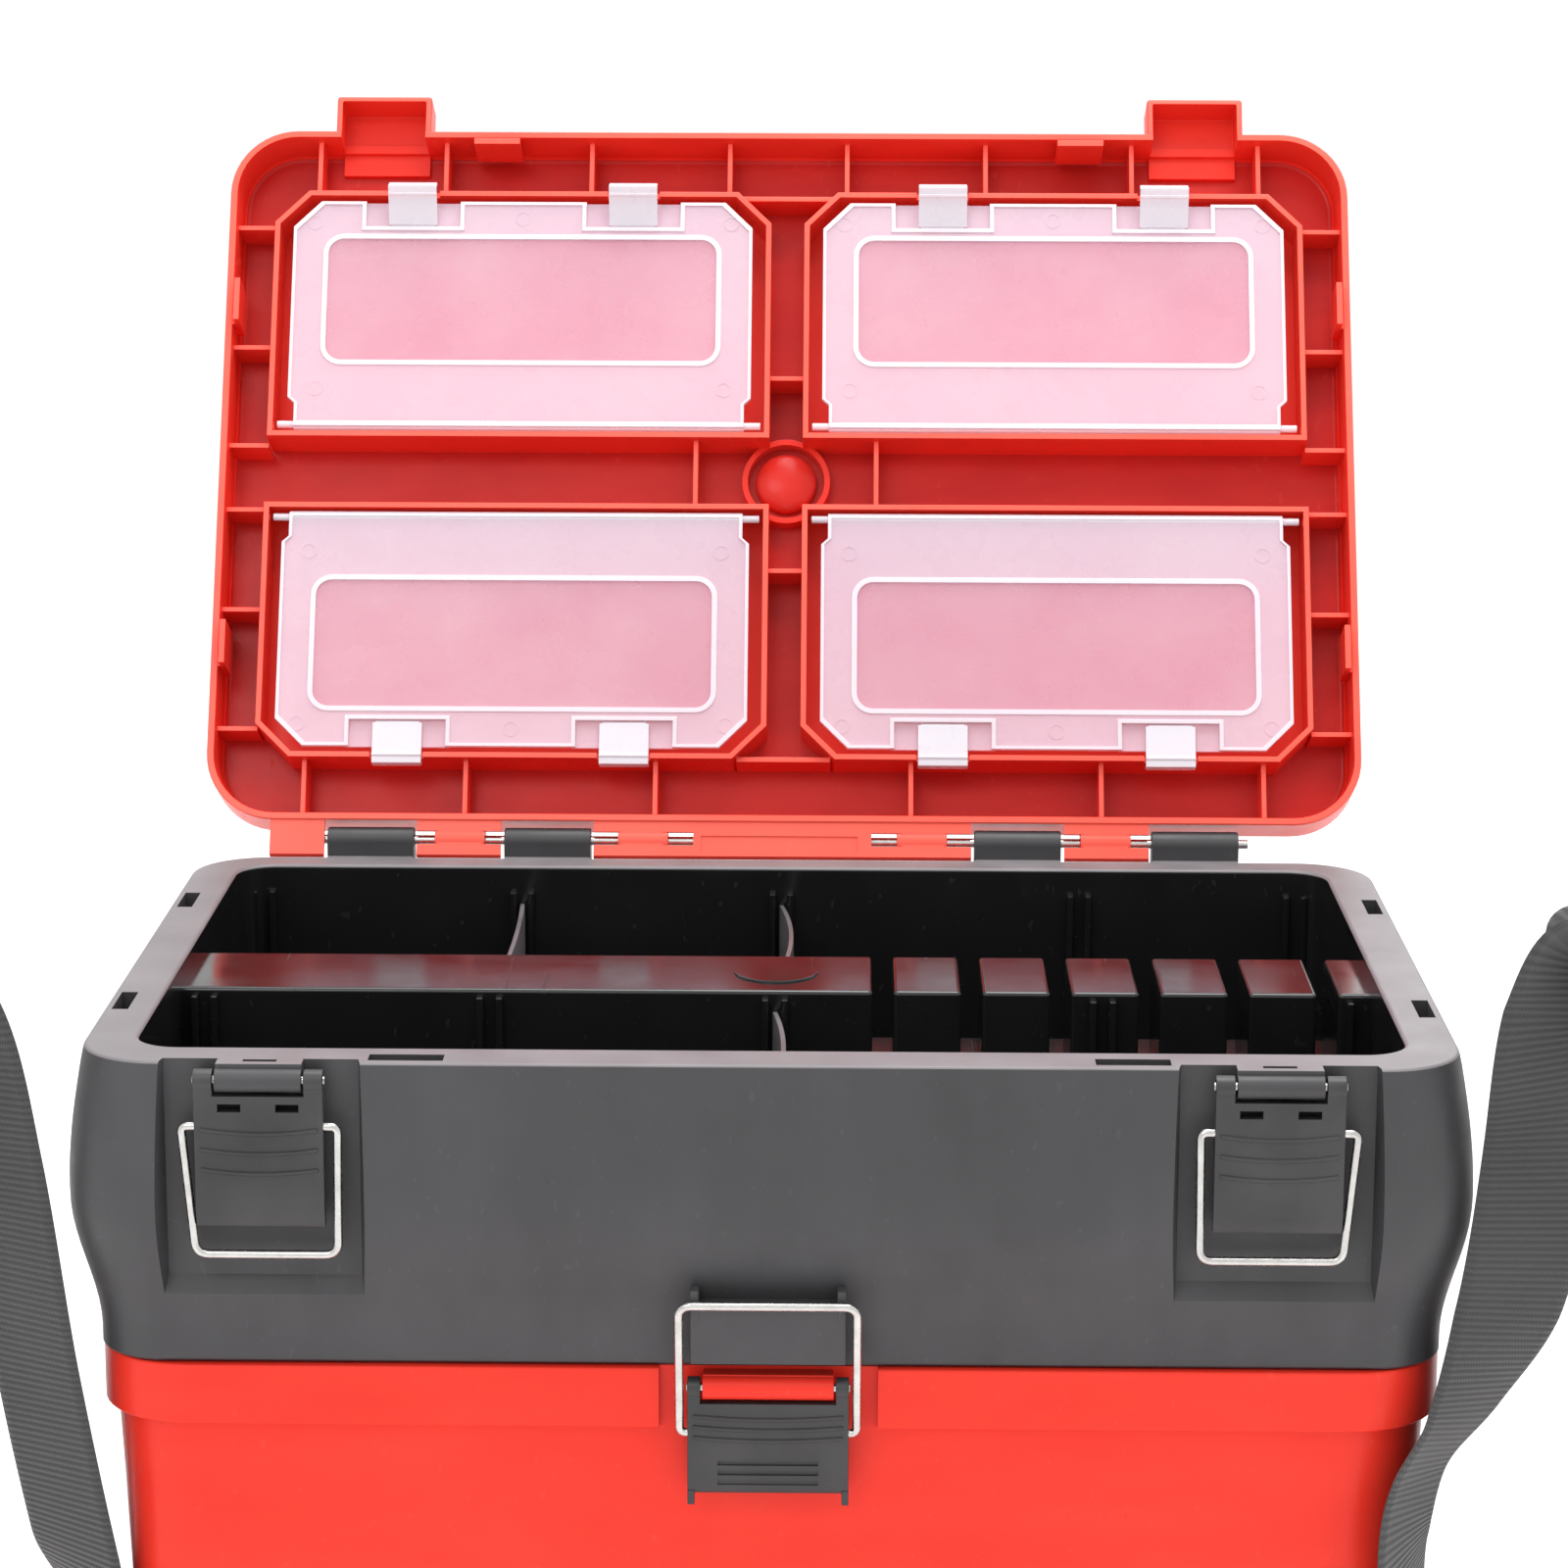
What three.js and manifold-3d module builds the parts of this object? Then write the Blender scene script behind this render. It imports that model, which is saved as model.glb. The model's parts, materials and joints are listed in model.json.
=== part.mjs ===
// Two-section plastic tackle box: a lower bucket, a compartment tray hinged on it, and a lid
// with four lidded pockets, wire-bail latches and a webbing shoulder strap.
// Millimetres, +Z up, front at -Y. The origin is the middle of the bucket's underside.
import * as THREE from 'three';
import { mergeVertices } from 'three/addons/utils/BufferGeometryUtils.js';
import Module from 'manifold-3d';

const wasm = await Module();
wasm.setup();

// ---- driving dimensions ----
const GAP = 0.3;
const WIDTH = 370;
const DEPTH = 236;
const CORNER = 22;
const CORNER_STEPS = 4;
const HALF_W = WIDTH / 2;
const HALF_D = DEPTH / 2;

const BUCKET_TOP = 205;
const BUCKET_WALL = 3;
const BUCKET_TAPER = 8;
const BAND_HEIGHT = 17;
const BAND_PROUD = 3;

const TRAY_BOTTOM = BUCKET_TOP + GAP;
const RIM = 290;
const TRAY_FLOOR = 2.7;
const BULGE = 5;
const BULGE_DROP = 41;
const FOOT_DROP = 80;
const FOOT_INSET = 2.6;
const INNER_HALF_W = 171;
const INNER_FRONT = -103;
const INNER_BACK = 107;
const INNER_MIDDLE = (INNER_FRONT + INNER_BACK) / 2;
const SKIN = 2.5;
const RIDGE_HALF = 20;
const RIDGE_TOP = RIM - 6;
const SLOT_WIDTH = 6;
const SLOT_PITCH = 25.5;
const SLOT_FIRST = 31;
const SLOT_FLOOR = 259;
const RIB_STATIONS = [-164, -82, 0, 94, 162];

const LID_BOTTOM = RIM + GAP;
const LID_TOP = 310;
const LID_SKIN = 2.5;
const LID_INSIDE = LID_TOP - LID_SKIN;
const LID_OPEN = THREE.MathUtils.degToRad(116.4);
const LID_AXIS_Y = HALF_D + 5.5;
const LID_AXIS_Z = RIM + 4.5;
const KNUCKLE_RADIUS = 4;
const ROD_RADIUS = 1.5;
const LID_KNUCKLES = [44.5, 103];
const TRAY_KNUCKLES = [75, 131.5];
const FLANGE_LEFT = 163.7;
const FLANGE_RIGHT = 117;
const FLANGE_WINDOWS = [[28.4, 38.4], [51.5, 61], [89, 96], [110, 117]];

const POCKET_WALL = 1.8;
const POCKET_INNER_X = 7.2;
const POCKET_OUTER_X = 168.2;
const POCKET_MIDDLE_X = (POCKET_INNER_X + POCKET_OUTER_X) / 2;
const POCKET_NEAR = 13.1;
const POCKET_FAR = 95.3;
const POCKET_EDGE = RIM + 1;
const POCKET_CHAMFER = 10;
const COVER_WIDTH = 152;
const COVER_NEAR = 13.9;
const COVER_FAR = 93.3;
const COVER_FACE = RIM + 1.6;
const COVER_THICK = 1.6;
const COVER_AXIS_D = 15.9;
const COVER_AXIS_Z = RIM + 3.4;
const SNAP_OFFSET = 36.5;
const SNAP_WIDTH = 16;
const SNAP_ROOT = 85.9;
const SNAP_TIP = 98.9;
const SNAP_THICK = 1.3;
const SNAP_OPEN = THREE.MathUtils.degToRad(35);

const TRAY_AXIS_Y = HALF_D + 6;
const TRAY_AXIS_Z = BUCKET_TOP - 5;
const TRAY_LUG_RADIUS = 5.5;
const TRAY_HINGE_X = 100;

const SIDE_LATCH_X = 135;
const SIDE_LATCH_Z = RIM - 4.5;
const SIDE_LATCH_Y = -HALF_D - 1.5;
const RECESS_FLOOR = -HALF_D + 3.5;
const CENTRE_LATCH_Z = BUCKET_TOP - 4.5;
const CENTRE_LATCH_Y = -HALF_D - 1;
const LATCH_PIN_RADIUS = 1.25;
const WIRE_RADIUS = 1.2;
const BAIL_DROP = 12.5;
const SIDE_LEVER = { half: 17.2, tongue: 11.5, length: 40, bail: 20.8, reach: 35.5 };
const CENTRE_LEVER = { half: 21.7, tongue: 17.6, length: 29.5, bail: 23.8, reach: 38.5 };
const CENTRE_BAIL_TURN = THREE.MathUtils.degToRad(-170);

const STRAP_WIDTH = 38;
const STRAP_THICK = 1.8;
const ANCHOR_Y = -84;
const ANCHOR_X = 175;

// the strap's middle line, from the left anchor round the back to the right one, and the
// direction across it from its front edge to its rear edge at each of those places
const STRAP_ROUTE = [
  [-183.8, -84, 57], [-184, -84.3, 69], [-185.8, -88, 105], [-192.1, -98.2, 146], [-201, -99.9, 200],
  [-209, -99.9, 260], [-218, -98.4, 303], [-234, -96.6, 324], [-251, -93, 303], [-255, -80, 245],
  [-254, -45, 160], [-250, 5, 84], [-232, 62, 40], [-200, 118, 27], [-150, 150, 22],
  [0, 162, 21],
  [150, 150, 22], [198, 118, 27], [230, 64, 40], [248, 5, 84], [252, -42, 158],
  [250, -74, 235], [244, -88, 290], [230, -97, 317], [213, -103, 322], [208, -106.5, 303],
  [206.6, -107.3, 267], [199, -108, 219], [188.4, -105.7, 191], [177, -105.6, 171], [173.5, -107, 149],
  [180.5, -95, 105], [184, -84.3, 69], [183.8, -84, 57],
];
const STRAP_ACROSS = [
  [0, 1, 0], [0, 1, 0], [-0.2, 0.98, 0], [-0.76, 0.65, 0], [-0.76, 0.65, 0],
  [-0.76, 0.65, 0], [-0.7, 0.71, 0], [-0.4, 0.92, 0], [-0.2, 0.98, 0], [-0.2, 0.97, 0.05],
  [-0.1, 0.93, 0.3], [-0.1, 0.82, 0.55], [-0.1, 0.55, 0.83], [-0.05, 0.25, 0.97], [0, 0.05, 1],
  [0, 0, 1],
  [0, 0.05, 1], [0.05, 0.25, 0.97], [0.1, 0.55, 0.83], [0.1, 0.82, 0.55], [0.1, 0.93, 0.3],
  [0.2, 0.97, 0.05], [0.2, 0.98, 0], [0.3, 0.95, 0], [0.5, 0.86, 0], [0.8, 0.6, 0],
  [0.9, 0.43, 0], [0.87, 0.5, 0], [0.69, 0.73, 0], [0.55, 0.84, 0], [0.477, 0.879, 0],
  [0.2, 0.98, 0], [0, 1, 0], [0, 1, 0],
];

// ---- materials ----
const plastic = (color, roughness) => new THREE.MeshStandardMaterial({ color, roughness, metalness: 0 });
const steel = (color, roughness) => new THREE.MeshStandardMaterial({ color, roughness, metalness: 1 });

// ---- solids ----
function solid(geometry) {
  const bare = geometry.index ? geometry.toNonIndexed() : geometry;
  bare.deleteAttribute('normal');
  bare.deleteAttribute('uv');
  const merged = mergeVertices(bare, 1e-4);
  return new wasm.Manifold(new wasm.Mesh({
    numProp: 3,
    vertProperties: new Float32Array(merged.attributes.position.array),
    triVerts: new Uint32Array(merged.index.array),
  }));
}

function piece(name, shape, material) {
  const { vertProperties, triVerts } = shape.getMesh();
  const geometry = new THREE.BufferGeometry();
  geometry.setAttribute('position', new THREE.BufferAttribute(vertProperties, 3));
  geometry.setIndex(new THREE.BufferAttribute(triVerts, 1));
  geometry.computeVertexNormals();
  const mesh = new THREE.Mesh(geometry, material);
  mesh.name = name;
  return mesh;
}

function join(parts) {
  return parts.reduce((whole, part) => whole.add(part));
}

function cut(whole, parts) {
  return parts.reduce((rest, part) => rest.subtract(part), whole);
}

function box(x0, x1, y0, y1, z0, z1) {
  const geometry = new THREE.BoxGeometry(x1 - x0, y1 - y0, z1 - z0);
  geometry.translate((x0 + x1) / 2, (y0 + y1) / 2, (z0 + z1) / 2);
  return solid(geometry);
}

// a round bar along X between x0 and x1
function bar(x0, x1, y, z, radius, sides = 12) {
  const geometry = new THREE.CylinderGeometry(radius, radius, x1 - x0, sides);
  geometry.rotateZ(Math.PI / 2);
  geometry.translate((x0 + x1) / 2, y, z);
  return solid(geometry);
}

function disc(x, y, z0, z1, radius, topRadius = radius, sides = 24) {
  const geometry = new THREE.CylinderGeometry(topRadius, radius, z1 - z0, sides);
  geometry.rotateX(Math.PI / 2);
  geometry.translate(x, y, (z0 + z1) / 2);
  return solid(geometry);
}

function roundedRect(halfW, front, back, radius) {
  const shape = new THREE.Shape();
  shape.absarc(halfW - radius, back - radius, radius, 0, Math.PI / 2);
  shape.absarc(radius - halfW, back - radius, radius, Math.PI / 2, Math.PI);
  shape.absarc(radius - halfW, front + radius, radius, Math.PI, 1.5 * Math.PI);
  shape.absarc(halfW - radius, front + radius, radius, 1.5 * Math.PI, 2 * Math.PI);
  shape.closePath();
  return shape;
}

// an upright prism; grow(z) pushes its outline outward along X and Y at each height
function prism(shape, z0, z1, steps = 1, grow = () => 0) {
  const geometry = new THREE.ExtrudeGeometry(shape, {
    depth: z1 - z0,
    steps,
    bevelEnabled: false,
    curveSegments: CORNER_STEPS,
  });
  geometry.translate(0, 0, z0);
  const at = geometry.attributes.position;
  for (let i = 0; i < at.count; i += 1) {
    const more = grow(at.getZ(i));
    at.setX(i, at.getX(i) + Math.sign(at.getX(i)) * more);
    at.setY(i, at.getY(i) + Math.sign(at.getY(i)) * more);
  }
  return solid(geometry);
}

function polygon(points) {
  return new THREE.Shape(points.map(([a, b]) => new THREE.Vector2(a, b)));
}

// a side profile, given as [y, z] points, carried along X
function profile(points, x0, x1) {
  const geometry = new THREE.ExtrudeGeometry(polygon(points), { depth: x1 - x0, bevelEnabled: false });
  geometry.applyMatrix4(new THREE.Matrix4().makeBasis(
    new THREE.Vector3(0, 1, 0),
    new THREE.Vector3(0, 0, 1),
    new THREE.Vector3(1, 0, 0),
  ));
  geometry.translate(x0, 0, 0);
  return solid(geometry);
}

function bothSides(make) {
  return [-1, 1].flatMap((side) => make(side));
}

// a round bar between two distances from the middle plane, on the given side
function sideBar(side, near, far, y, z, radius) {
  return bar(Math.min(side * near, side * far), Math.max(side * near, side * far), y, z, radius);
}

// a box between two distances from the middle plane, on the given side
function sideBox(side, near, far, y0, y1, z0, z1) {
  return box(Math.min(side * near, side * far), Math.max(side * near, side * far), y0, y1, z0, z1);
}

// ---- bucket ----
const bucketGrow = (z) => BUCKET_TAPER * (z / BUCKET_TOP - 1);

function bucketTongue() {
  const z = CENTRE_LATCH_Z;
  const y = CENTRE_LATCH_Y;
  const half = CENTRE_LEVER.tongue;
  const body = join([
    box(-half, half, y, -HALF_D + 5, z - 3.2, z + 3.6),
    bar(-half, half, y, z, 3.2),
  ]);
  return cut(body, [bar(-half - 1, half + 1, y, z, LATCH_PIN_RADIUS + GAP)]);
}

function bucketHinge() {
  return bothSides((side) => [-12, 12].map((offset) => {
    const middle = side * TRAY_HINGE_X + offset;
    return join([
      bar(middle - 3, middle + 3, TRAY_AXIS_Y, TRAY_AXIS_Z, TRAY_LUG_RADIUS - 0.3),
      box(middle - 3, middle + 3, HALF_D - 3, TRAY_AXIS_Y, TRAY_AXIS_Z - 5, TRAY_AXIS_Z + 4.7),
    ]);
  }));
}

function bucket() {
  const wallX = HALF_W - BAND_PROUD - 2;
  const wallY = HALF_D - BAND_PROUD - 1;
  const outer = prism(roundedRect(wallX, -wallY, wallY, CORNER + 2), 0, BUCKET_TOP, 1, bucketGrow);
  const inside = roundedRect(wallX - BUCKET_WALL, BUCKET_WALL - wallY, wallY - BUCKET_WALL, CORNER - 1);
  const hollow = prism(inside, BUCKET_WALL, BUCKET_TOP + 2, 1, bucketGrow);
  const rimRect = roundedRect(HALF_W - 2, 1 - HALF_D, HALF_D - 1, CORNER);
  const band = prism(rimRect, BUCKET_TOP - BAND_HEIGHT, BUCKET_TOP);
  const notch = box(-29.5, 29.5, -HALF_D - 5, -wallY - 0.1, BUCKET_TOP - BAND_HEIGHT - 1, BUCKET_TOP + 1);
  const footHollow = cut(box(-120, 120, -60, 60, -1, 1.2), [box(-20, 20, -15, 15, -2, 2)]);
  const shell = cut(outer.add(band), [hollow, notch, footHollow]);
  const lugs = cut(join(bucketHinge()), [
    bar(-HALF_W, HALF_W, TRAY_AXIS_Y, TRAY_AXIS_Z, ROD_RADIUS + GAP),
  ]);
  const bearing = cut(bucketTongue(), [hollow]);
  return piece('bucket', join([shell, lugs, bearing]), plastic(0xc8201c, 0.42));
}

// ---- tray ----
// how far the tray's outside stands proud of the rim outline at a height
function trayGrow(z) {
  const drop = RIM - z;
  if (drop < BULGE_DROP) {
    return BULGE * Math.sin((Math.PI / 2) * (drop / BULGE_DROP));
  }
  const low = Math.min((drop - BULGE_DROP) / (FOOT_DROP - BULGE_DROP), 1);
  const middle = (BULGE - FOOT_INSET) / 2;
  return middle + (BULGE + FOOT_INSET) / 2 * Math.cos(Math.PI * low);
}

function trayRecess(side) {
  const floor = RECESS_FLOOR;
  const ramp = [
    [floor, RIM + 2], [floor, RIM - 60], [floor - 11, RIM - 74],
    [floor - 25, RIM - 74], [floor - 25, RIM + 2],
  ];
  return profile(ramp.reverse(), side * SIDE_LATCH_X - 27, side * SIDE_LATCH_X + 27);
}

function trayTongue(side) {
  const middle = side * SIDE_LATCH_X;
  const half = SIDE_LEVER.tongue;
  const body = join([
    box(middle - half, middle + half, SIDE_LATCH_Y, RECESS_FLOOR + 2, SIDE_LATCH_Z - 3.2, RIM),
    bar(middle - half, middle + half, SIDE_LATCH_Y, SIDE_LATCH_Z, 3.2),
  ]);
  const slotY = SIDE_LATCH_Y + 2.2;
  const pocket = box(middle - 4.5, middle + 4.5, slotY, slotY + 2, SIDE_LATCH_Z + 2.4, RIM + 1);
  const boreRadius = LATCH_PIN_RADIUS + GAP;
  const bore = bar(middle - half - 1, middle + half + 1, SIDE_LATCH_Y, SIDE_LATCH_Z, boreRadius);
  return cut(body, [bore, pocket]);
}

function trayCatch() {
  const front = -HALF_D - 6.6;
  const boss = profile([
    [-HALF_D + 3, TRAY_BOTTOM + 1], [-HALF_D + 3, TRAY_BOTTOM + 19.7], [front, TRAY_BOTTOM + 19.7],
    [front + 1.6, TRAY_BOTTOM + 3],
  ].reverse(), -20.8, 20.8);
  const horns = bothSides((side) => [
    sideBox(side, 18.4, 20.8, front, -HALF_D, TRAY_BOTTOM + 19, TRAY_BOTTOM + 24),
  ]);
  return join([boss, ...horns]);
}

function trayLidKnuckles() {
  return bothSides((side) => TRAY_KNUCKLES.map((middle) => join([
    bar(side * middle - 13.8, side * middle + 13.8, LID_AXIS_Y, LID_AXIS_Z, KNUCKLE_RADIUS),
    box(side * middle - 13.8, side * middle + 13.8, HALF_D - 1, LID_AXIS_Y + KNUCKLE_RADIUS, RIM - 7, RIM),
    box(side * middle - 13.8, side * middle + 13.8, LID_AXIS_Y - 4, LID_AXIS_Y + 4, RIM - 2, LID_AXIS_Z),
  ])));
}

function trayBucketLugs() {
  return bothSides((side) => {
    const middle = side * TRAY_HINGE_X;
    return [join([
      bar(middle - 8.6, middle + 8.6, TRAY_AXIS_Y, TRAY_AXIS_Z, TRAY_LUG_RADIUS - 0.3),
      box(middle - 8.6, middle + 8.6, TRAY_AXIS_Y - 5, TRAY_AXIS_Y + 5, TRAY_AXIS_Z, TRAY_BOTTOM + 12),
      box(middle - 8.6, middle + 8.6, HALF_D - 6, TRAY_AXIS_Y, TRAY_BOTTOM, TRAY_BOTTOM + 12),
    ])];
  });
}

// upright rib pairs that hold the ends of the loose dividers
function dividerRibs() {
  const rows = [
    [INNER_BACK - 3, INNER_BACK + 1], [RIDGE_HALF - 1, RIDGE_HALF + 3],
    [-RIDGE_HALF - 3, 1 - RIDGE_HALF], [INNER_FRONT - 1, INNER_FRONT + 3],
  ];
  return rows.flatMap(([y0, y1]) => RIB_STATIONS.flatMap((x) => [
    box(x - 3.8, x - 1.8, y0, y1, TRAY_BOTTOM + 1, RIM - 8),
    box(x + 1.8, x + 3.8, y0, y1, TRAY_BOTTOM + 1, RIM - 8),
  ]));
}

function ridge() {
  const outside = box(-INNER_HALF_W - 1, INNER_HALF_W + 1, -RIDGE_HALF, RIDGE_HALF, TRAY_BOTTOM, RIDGE_TOP);
  const badge = disc(0, 1, RIDGE_TOP - 1, RIDGE_TOP + 0.6, 12.4);
  return cut(outside.add(badge), slotClearance());
}

function slotCentres() {
  return [0, 1, 2, 3, 4, 5].map((i) => SLOT_FIRST + SLOT_PITCH * i);
}

function slotClearance() {
  return slotCentres().map((x) => (
    box(x - SLOT_WIDTH / 2, x + SLOT_WIDTH / 2, -RIDGE_HALF - 5, RIDGE_HALF + 5, SLOT_FLOOR, RIM)
  ));
}

// the space under the ridge: one low channel, and a room inside each raised block
function ridgeHollow() {
  const half = RIDGE_HALF - 2;
  const low = box(4 - INNER_HALF_W, INNER_HALF_W - 4, -half, half, TRAY_BOTTOM - 2, SLOT_FLOOR - 2.5);
  const slots = slotCentres();
  const starts = [4 - INNER_HALF_W, ...slots.slice(0, -1).map((x) => x + SLOT_WIDTH / 2 + 1.6)];
  const rooms = slots.map((x, i) => (
    box(starts[i], x - SLOT_WIDTH / 2 - 1.6, -half, half, SLOT_FLOOR - 4, RIDGE_TOP - 2)
  ));
  return join([low, ...rooms]);
}

function rimSlots() {
  const sides = bothSides((side) => [-57, 60].map((y) => (
    sideBox(side, 178.3, 182.9, y - 9, y + 9, RIM - 6, RIM + 1)
  )));
  const front = bothSides((side) => [sideBox(side, 86.5, 106.5, -115.4, -109.6, RIM - 6, RIM + 1)]);
  return [...sides, ...front];
}

function tray() {
  const outer = prism(roundedRect(HALF_W, -HALF_D, HALF_D, CORNER), TRAY_BOTTOM, RIM, 9, trayGrow);
  const inside = roundedRect(INNER_HALF_W, INNER_FRONT - INNER_MIDDLE, INNER_BACK - INNER_MIDDLE, 12);
  const storage = prism(inside, TRAY_BOTTOM + TRAY_FLOOR, RIM + 2).translate([0, INNER_MIDDLE, 0]);
  const jacket = roundedRect(HALF_W - 3.5, RECESS_FLOOR + SKIN, HALF_D - 3, CORNER - 4);
  const core = roundedRect(
    INNER_HALF_W + SKIN,
    INNER_FRONT - INNER_MIDDLE - SKIN,
    INNER_BACK - INNER_MIDDLE + SKIN,
    12 + SKIN,
  );
  const wallHollow = prism(jacket, TRAY_BOTTOM - 2, RIM - 8.5)
    .subtract(prism(core, TRAY_BOTTOM - 3, RIM - 8).translate([0, INNER_MIDDLE, 0]));
  const shell = cut(outer, [storage, ...bothSides((side) => [trayRecess(side)])]);
  const added = join([shell, ridge(), ...dividerRibs().map((rib) => cut(rib, slotClearance()))]);
  const fittings = [
    ...bothSides((side) => [trayTongue(side)]), trayCatch(), ...trayLidKnuckles(), ...trayBucketLugs(),
  ];
  const whole = cut(added, [wallHollow, ridgeHollow(), ...rimSlots()]);
  const bores = [
    bar(-HALF_W, HALF_W, LID_AXIS_Y, LID_AXIS_Z, ROD_RADIUS + GAP),
    bar(-HALF_W, HALF_W, TRAY_AXIS_Y, TRAY_AXIS_Z, ROD_RADIUS + GAP),
  ];
  return piece('tray', cut(join([whole, ...fittings]), bores), plastic(0x2b2b2e, 0.5));
}

// ---- loose dividers ----
// a thin sheet standing between the ridge and an outer wall, bowed sideways in plan
function divider(name, x, y0, y1, bow) {
  const chord = y1 - y0;
  const radius = (chord * chord / 4 + bow * bow) / (2 * bow);
  const half = Math.asin(chord / 2 / radius);
  const centreX = x + bow - radius;
  const middleY = (y0 + y1) / 2;
  const thick = 1.5;
  const shape = new THREE.Shape();
  shape.absarc(centreX, middleY, radius + thick / 2, -half, half, false);
  shape.absarc(centreX, middleY, radius - thick / 2, half, -half, true);
  shape.closePath();
  const geometry = new THREE.ExtrudeGeometry(shape, {
    depth: RIM - 12 - (TRAY_BOTTOM + TRAY_FLOOR + GAP),
    bevelEnabled: false,
    curveSegments: 10,
  });
  geometry.translate(0, 0, TRAY_BOTTOM + TRAY_FLOOR + GAP);
  return piece(name, solid(geometry), plastic(0x3a3a3d, 0.35));
}

function dividers() {
  const back = [RIDGE_HALF + 0.5, INNER_BACK - 0.5];
  const front = [INNER_FRONT + 0.5, -RIDGE_HALF - 0.5];
  return [
    divider('divider_back_left', -82, ...back, 1),
    divider('divider_back_middle', 0, ...back, 3.6),
    divider('divider_front_middle', 0, ...front, 3),
  ];
}

// ---- lid (drawn shut, over the tray) ----
function pocketOutline(inset) {
  const x0 = POCKET_INNER_X + inset;
  const x1 = POCKET_OUTER_X - inset;
  const near = POCKET_NEAR + inset;
  const far = POCKET_FAR - inset;
  const chamfer = POCKET_CHAMFER - inset * 0.6;
  return [
    [x0, near], [x1, near], [x1, far - chamfer],
    [x1 - chamfer, far], [x0 + chamfer, far], [x0, far - chamfer],
  ];
}

// the wall of one pocket, a ring of constant thickness
function pocketWall(sideX, sideY) {
  const place = (points) => {
    const placed = points.map(([x, d]) => [sideX * x, sideY * d]);
    return sideX * sideY > 0 ? placed : placed.reverse();
  };
  const outer = prism(polygon(place(pocketOutline(-POCKET_WALL))), POCKET_EDGE, LID_INSIDE + 1);
  const inner = prism(polygon(place(pocketOutline(0))), POCKET_EDGE - 1, LID_INSIDE + 2);
  return outer.subtract(inner);
}

function snapNotch(x, sideY) {
  const y0 = Math.min(sideY * (POCKET_FAR - 1), sideY * (POCKET_FAR + 4));
  const y1 = Math.max(sideY * (POCKET_FAR - 1), sideY * (POCKET_FAR + 4));
  return box(x - SNAP_WIDTH / 2 - 0.6, x + SNAP_WIDTH / 2 + 0.6, y0, y1, POCKET_EDGE - 1, RIM + 3.2);
}

function lidPockets() {
  const walls = bothSides((sideX) => [-1, 1].map((sideY) => pocketWall(sideX, sideY)));
  const frames = [-1, 1].map((sideY) => {
    const y = sideY * (POCKET_FAR + POCKET_WALL / 2);
    return box(-POCKET_INNER_X - 8, POCKET_INNER_X + 8, y - 0.9, y + 0.9, RIM + 5, LID_INSIDE + 1);
  });
  const pinHoles = [-1, 1].map((sideY) => (
    bar(-HALF_W + 4, HALF_W - 4, sideY * COVER_AXIS_D, COVER_AXIS_Z, 1.6, 12)
  ));
  const notches = bothSides((sideX) => [-1, 1].flatMap((sideY) => [-1, 1].map((k) => (
    snapNotch(sideX * POCKET_MIDDLE_X + k * SNAP_OFFSET, sideY)
  ))));
  return cut(join([...walls, ...frames]), [...pinHoles, ...notches]);
}

// short ribs that tie the skirt to the pocket walls, and cross ribs in the channels between pockets
function lidRibs() {
  const z = [RIM + 4.5, LID_INSIDE + 1];
  const wallX = POCKET_OUTER_X + POCKET_WALL - 0.5;
  const wallY = POCKET_FAR + POCKET_WALL - 0.5;
  const skirtX = HALF_W - LID_SKIN + 0.5;
  const skirtY = HALF_D - LID_SKIN + 0.5;
  const upright = (x, y0, y1) => box(x - 0.8, x + 0.8, Math.min(y0, y1), Math.max(y0, y1), ...z);
  const level = (y, x0, x1) => box(Math.min(x0, x1), Math.max(x0, x1), y - 0.8, y + 0.8, ...z);
  return bothSides((side) => [
    ...[19.5, 65.5, 114, 156].map((x) => upright(side * x, -wallY, -skirtY)),
    ...[41, 102, 154].map((x) => upright(side * x, wallY, skirtY)),
    ...[-85, -43, -9, 13, 47, 87].map((y) => level(y, side * wallX, side * skirtX)),
    upright(side * 29.5, -POCKET_NEAR + 1, POCKET_NEAR - 1),
  ]).concat([-33, 33].map((y) => level(y, -POCKET_INNER_X, POCKET_INNER_X)));
}

function lidTabs() {
  const z = [RIM - 4, RIM + 12];
  const sides = bothSides((side) => [-57, 60].map((y) => (
    sideBox(side, 180, HALF_W - LID_SKIN + 0.3, y - 7.3, y + 7.3, ...z)
  )));
  const slim = sides.map((tab) => cut(tab, bothSides((side) => [
    sideBox(side, 182.2, HALF_W, -HALF_D, HALF_D, RIM - 5, RIM + 0.3),
  ])));
  const front = bothSides((side) => [sideBox(side, 89, 104.3, -113.9, -111.7, ...z)]);
  const gussets = bothSides((side) => [sideBox(side, 95.7, 97.6, -HALF_D + 1, -111.7, RIM + 3, RIM + 12)]);
  return [...slim, ...front, ...gussets];
}

// the hollow catch that each side bail hooks over, with a pad behind it in the rim channel
function lidCatches() {
  return bothSides((side) => {
    const middle = side * SIDE_LATCH_X;
    const body = box(middle - 15.8, middle + 15.8, -HALF_D - 12.8, -HALF_D + 1, RIM + 1.2, RIM + 16.4);
    const pad = box(middle - 14.5, middle + 14.5, -HALF_D + 1, -HALF_D + 10, RIM + 15.4, LID_INSIDE + 1);
    return [join([body, pad])];
  });
}

// the catches' hollows, which also lower the skirt to a sill behind each catch
function catchHollows() {
  return bothSides((side) => {
    const near = SIDE_LATCH_X - 14;
    const far = SIDE_LATCH_X + 14;
    return [
      sideBox(side, near, far, -HALF_D - 11, -HALF_D - 0.2, RIM - 1, RIM + 14.6),
      sideBox(side, near, far, -HALF_D - 1, -HALF_D + LID_SKIN + 0.3, RIM - 1, RIM + 13.6),
    ];
  });
}

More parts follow.
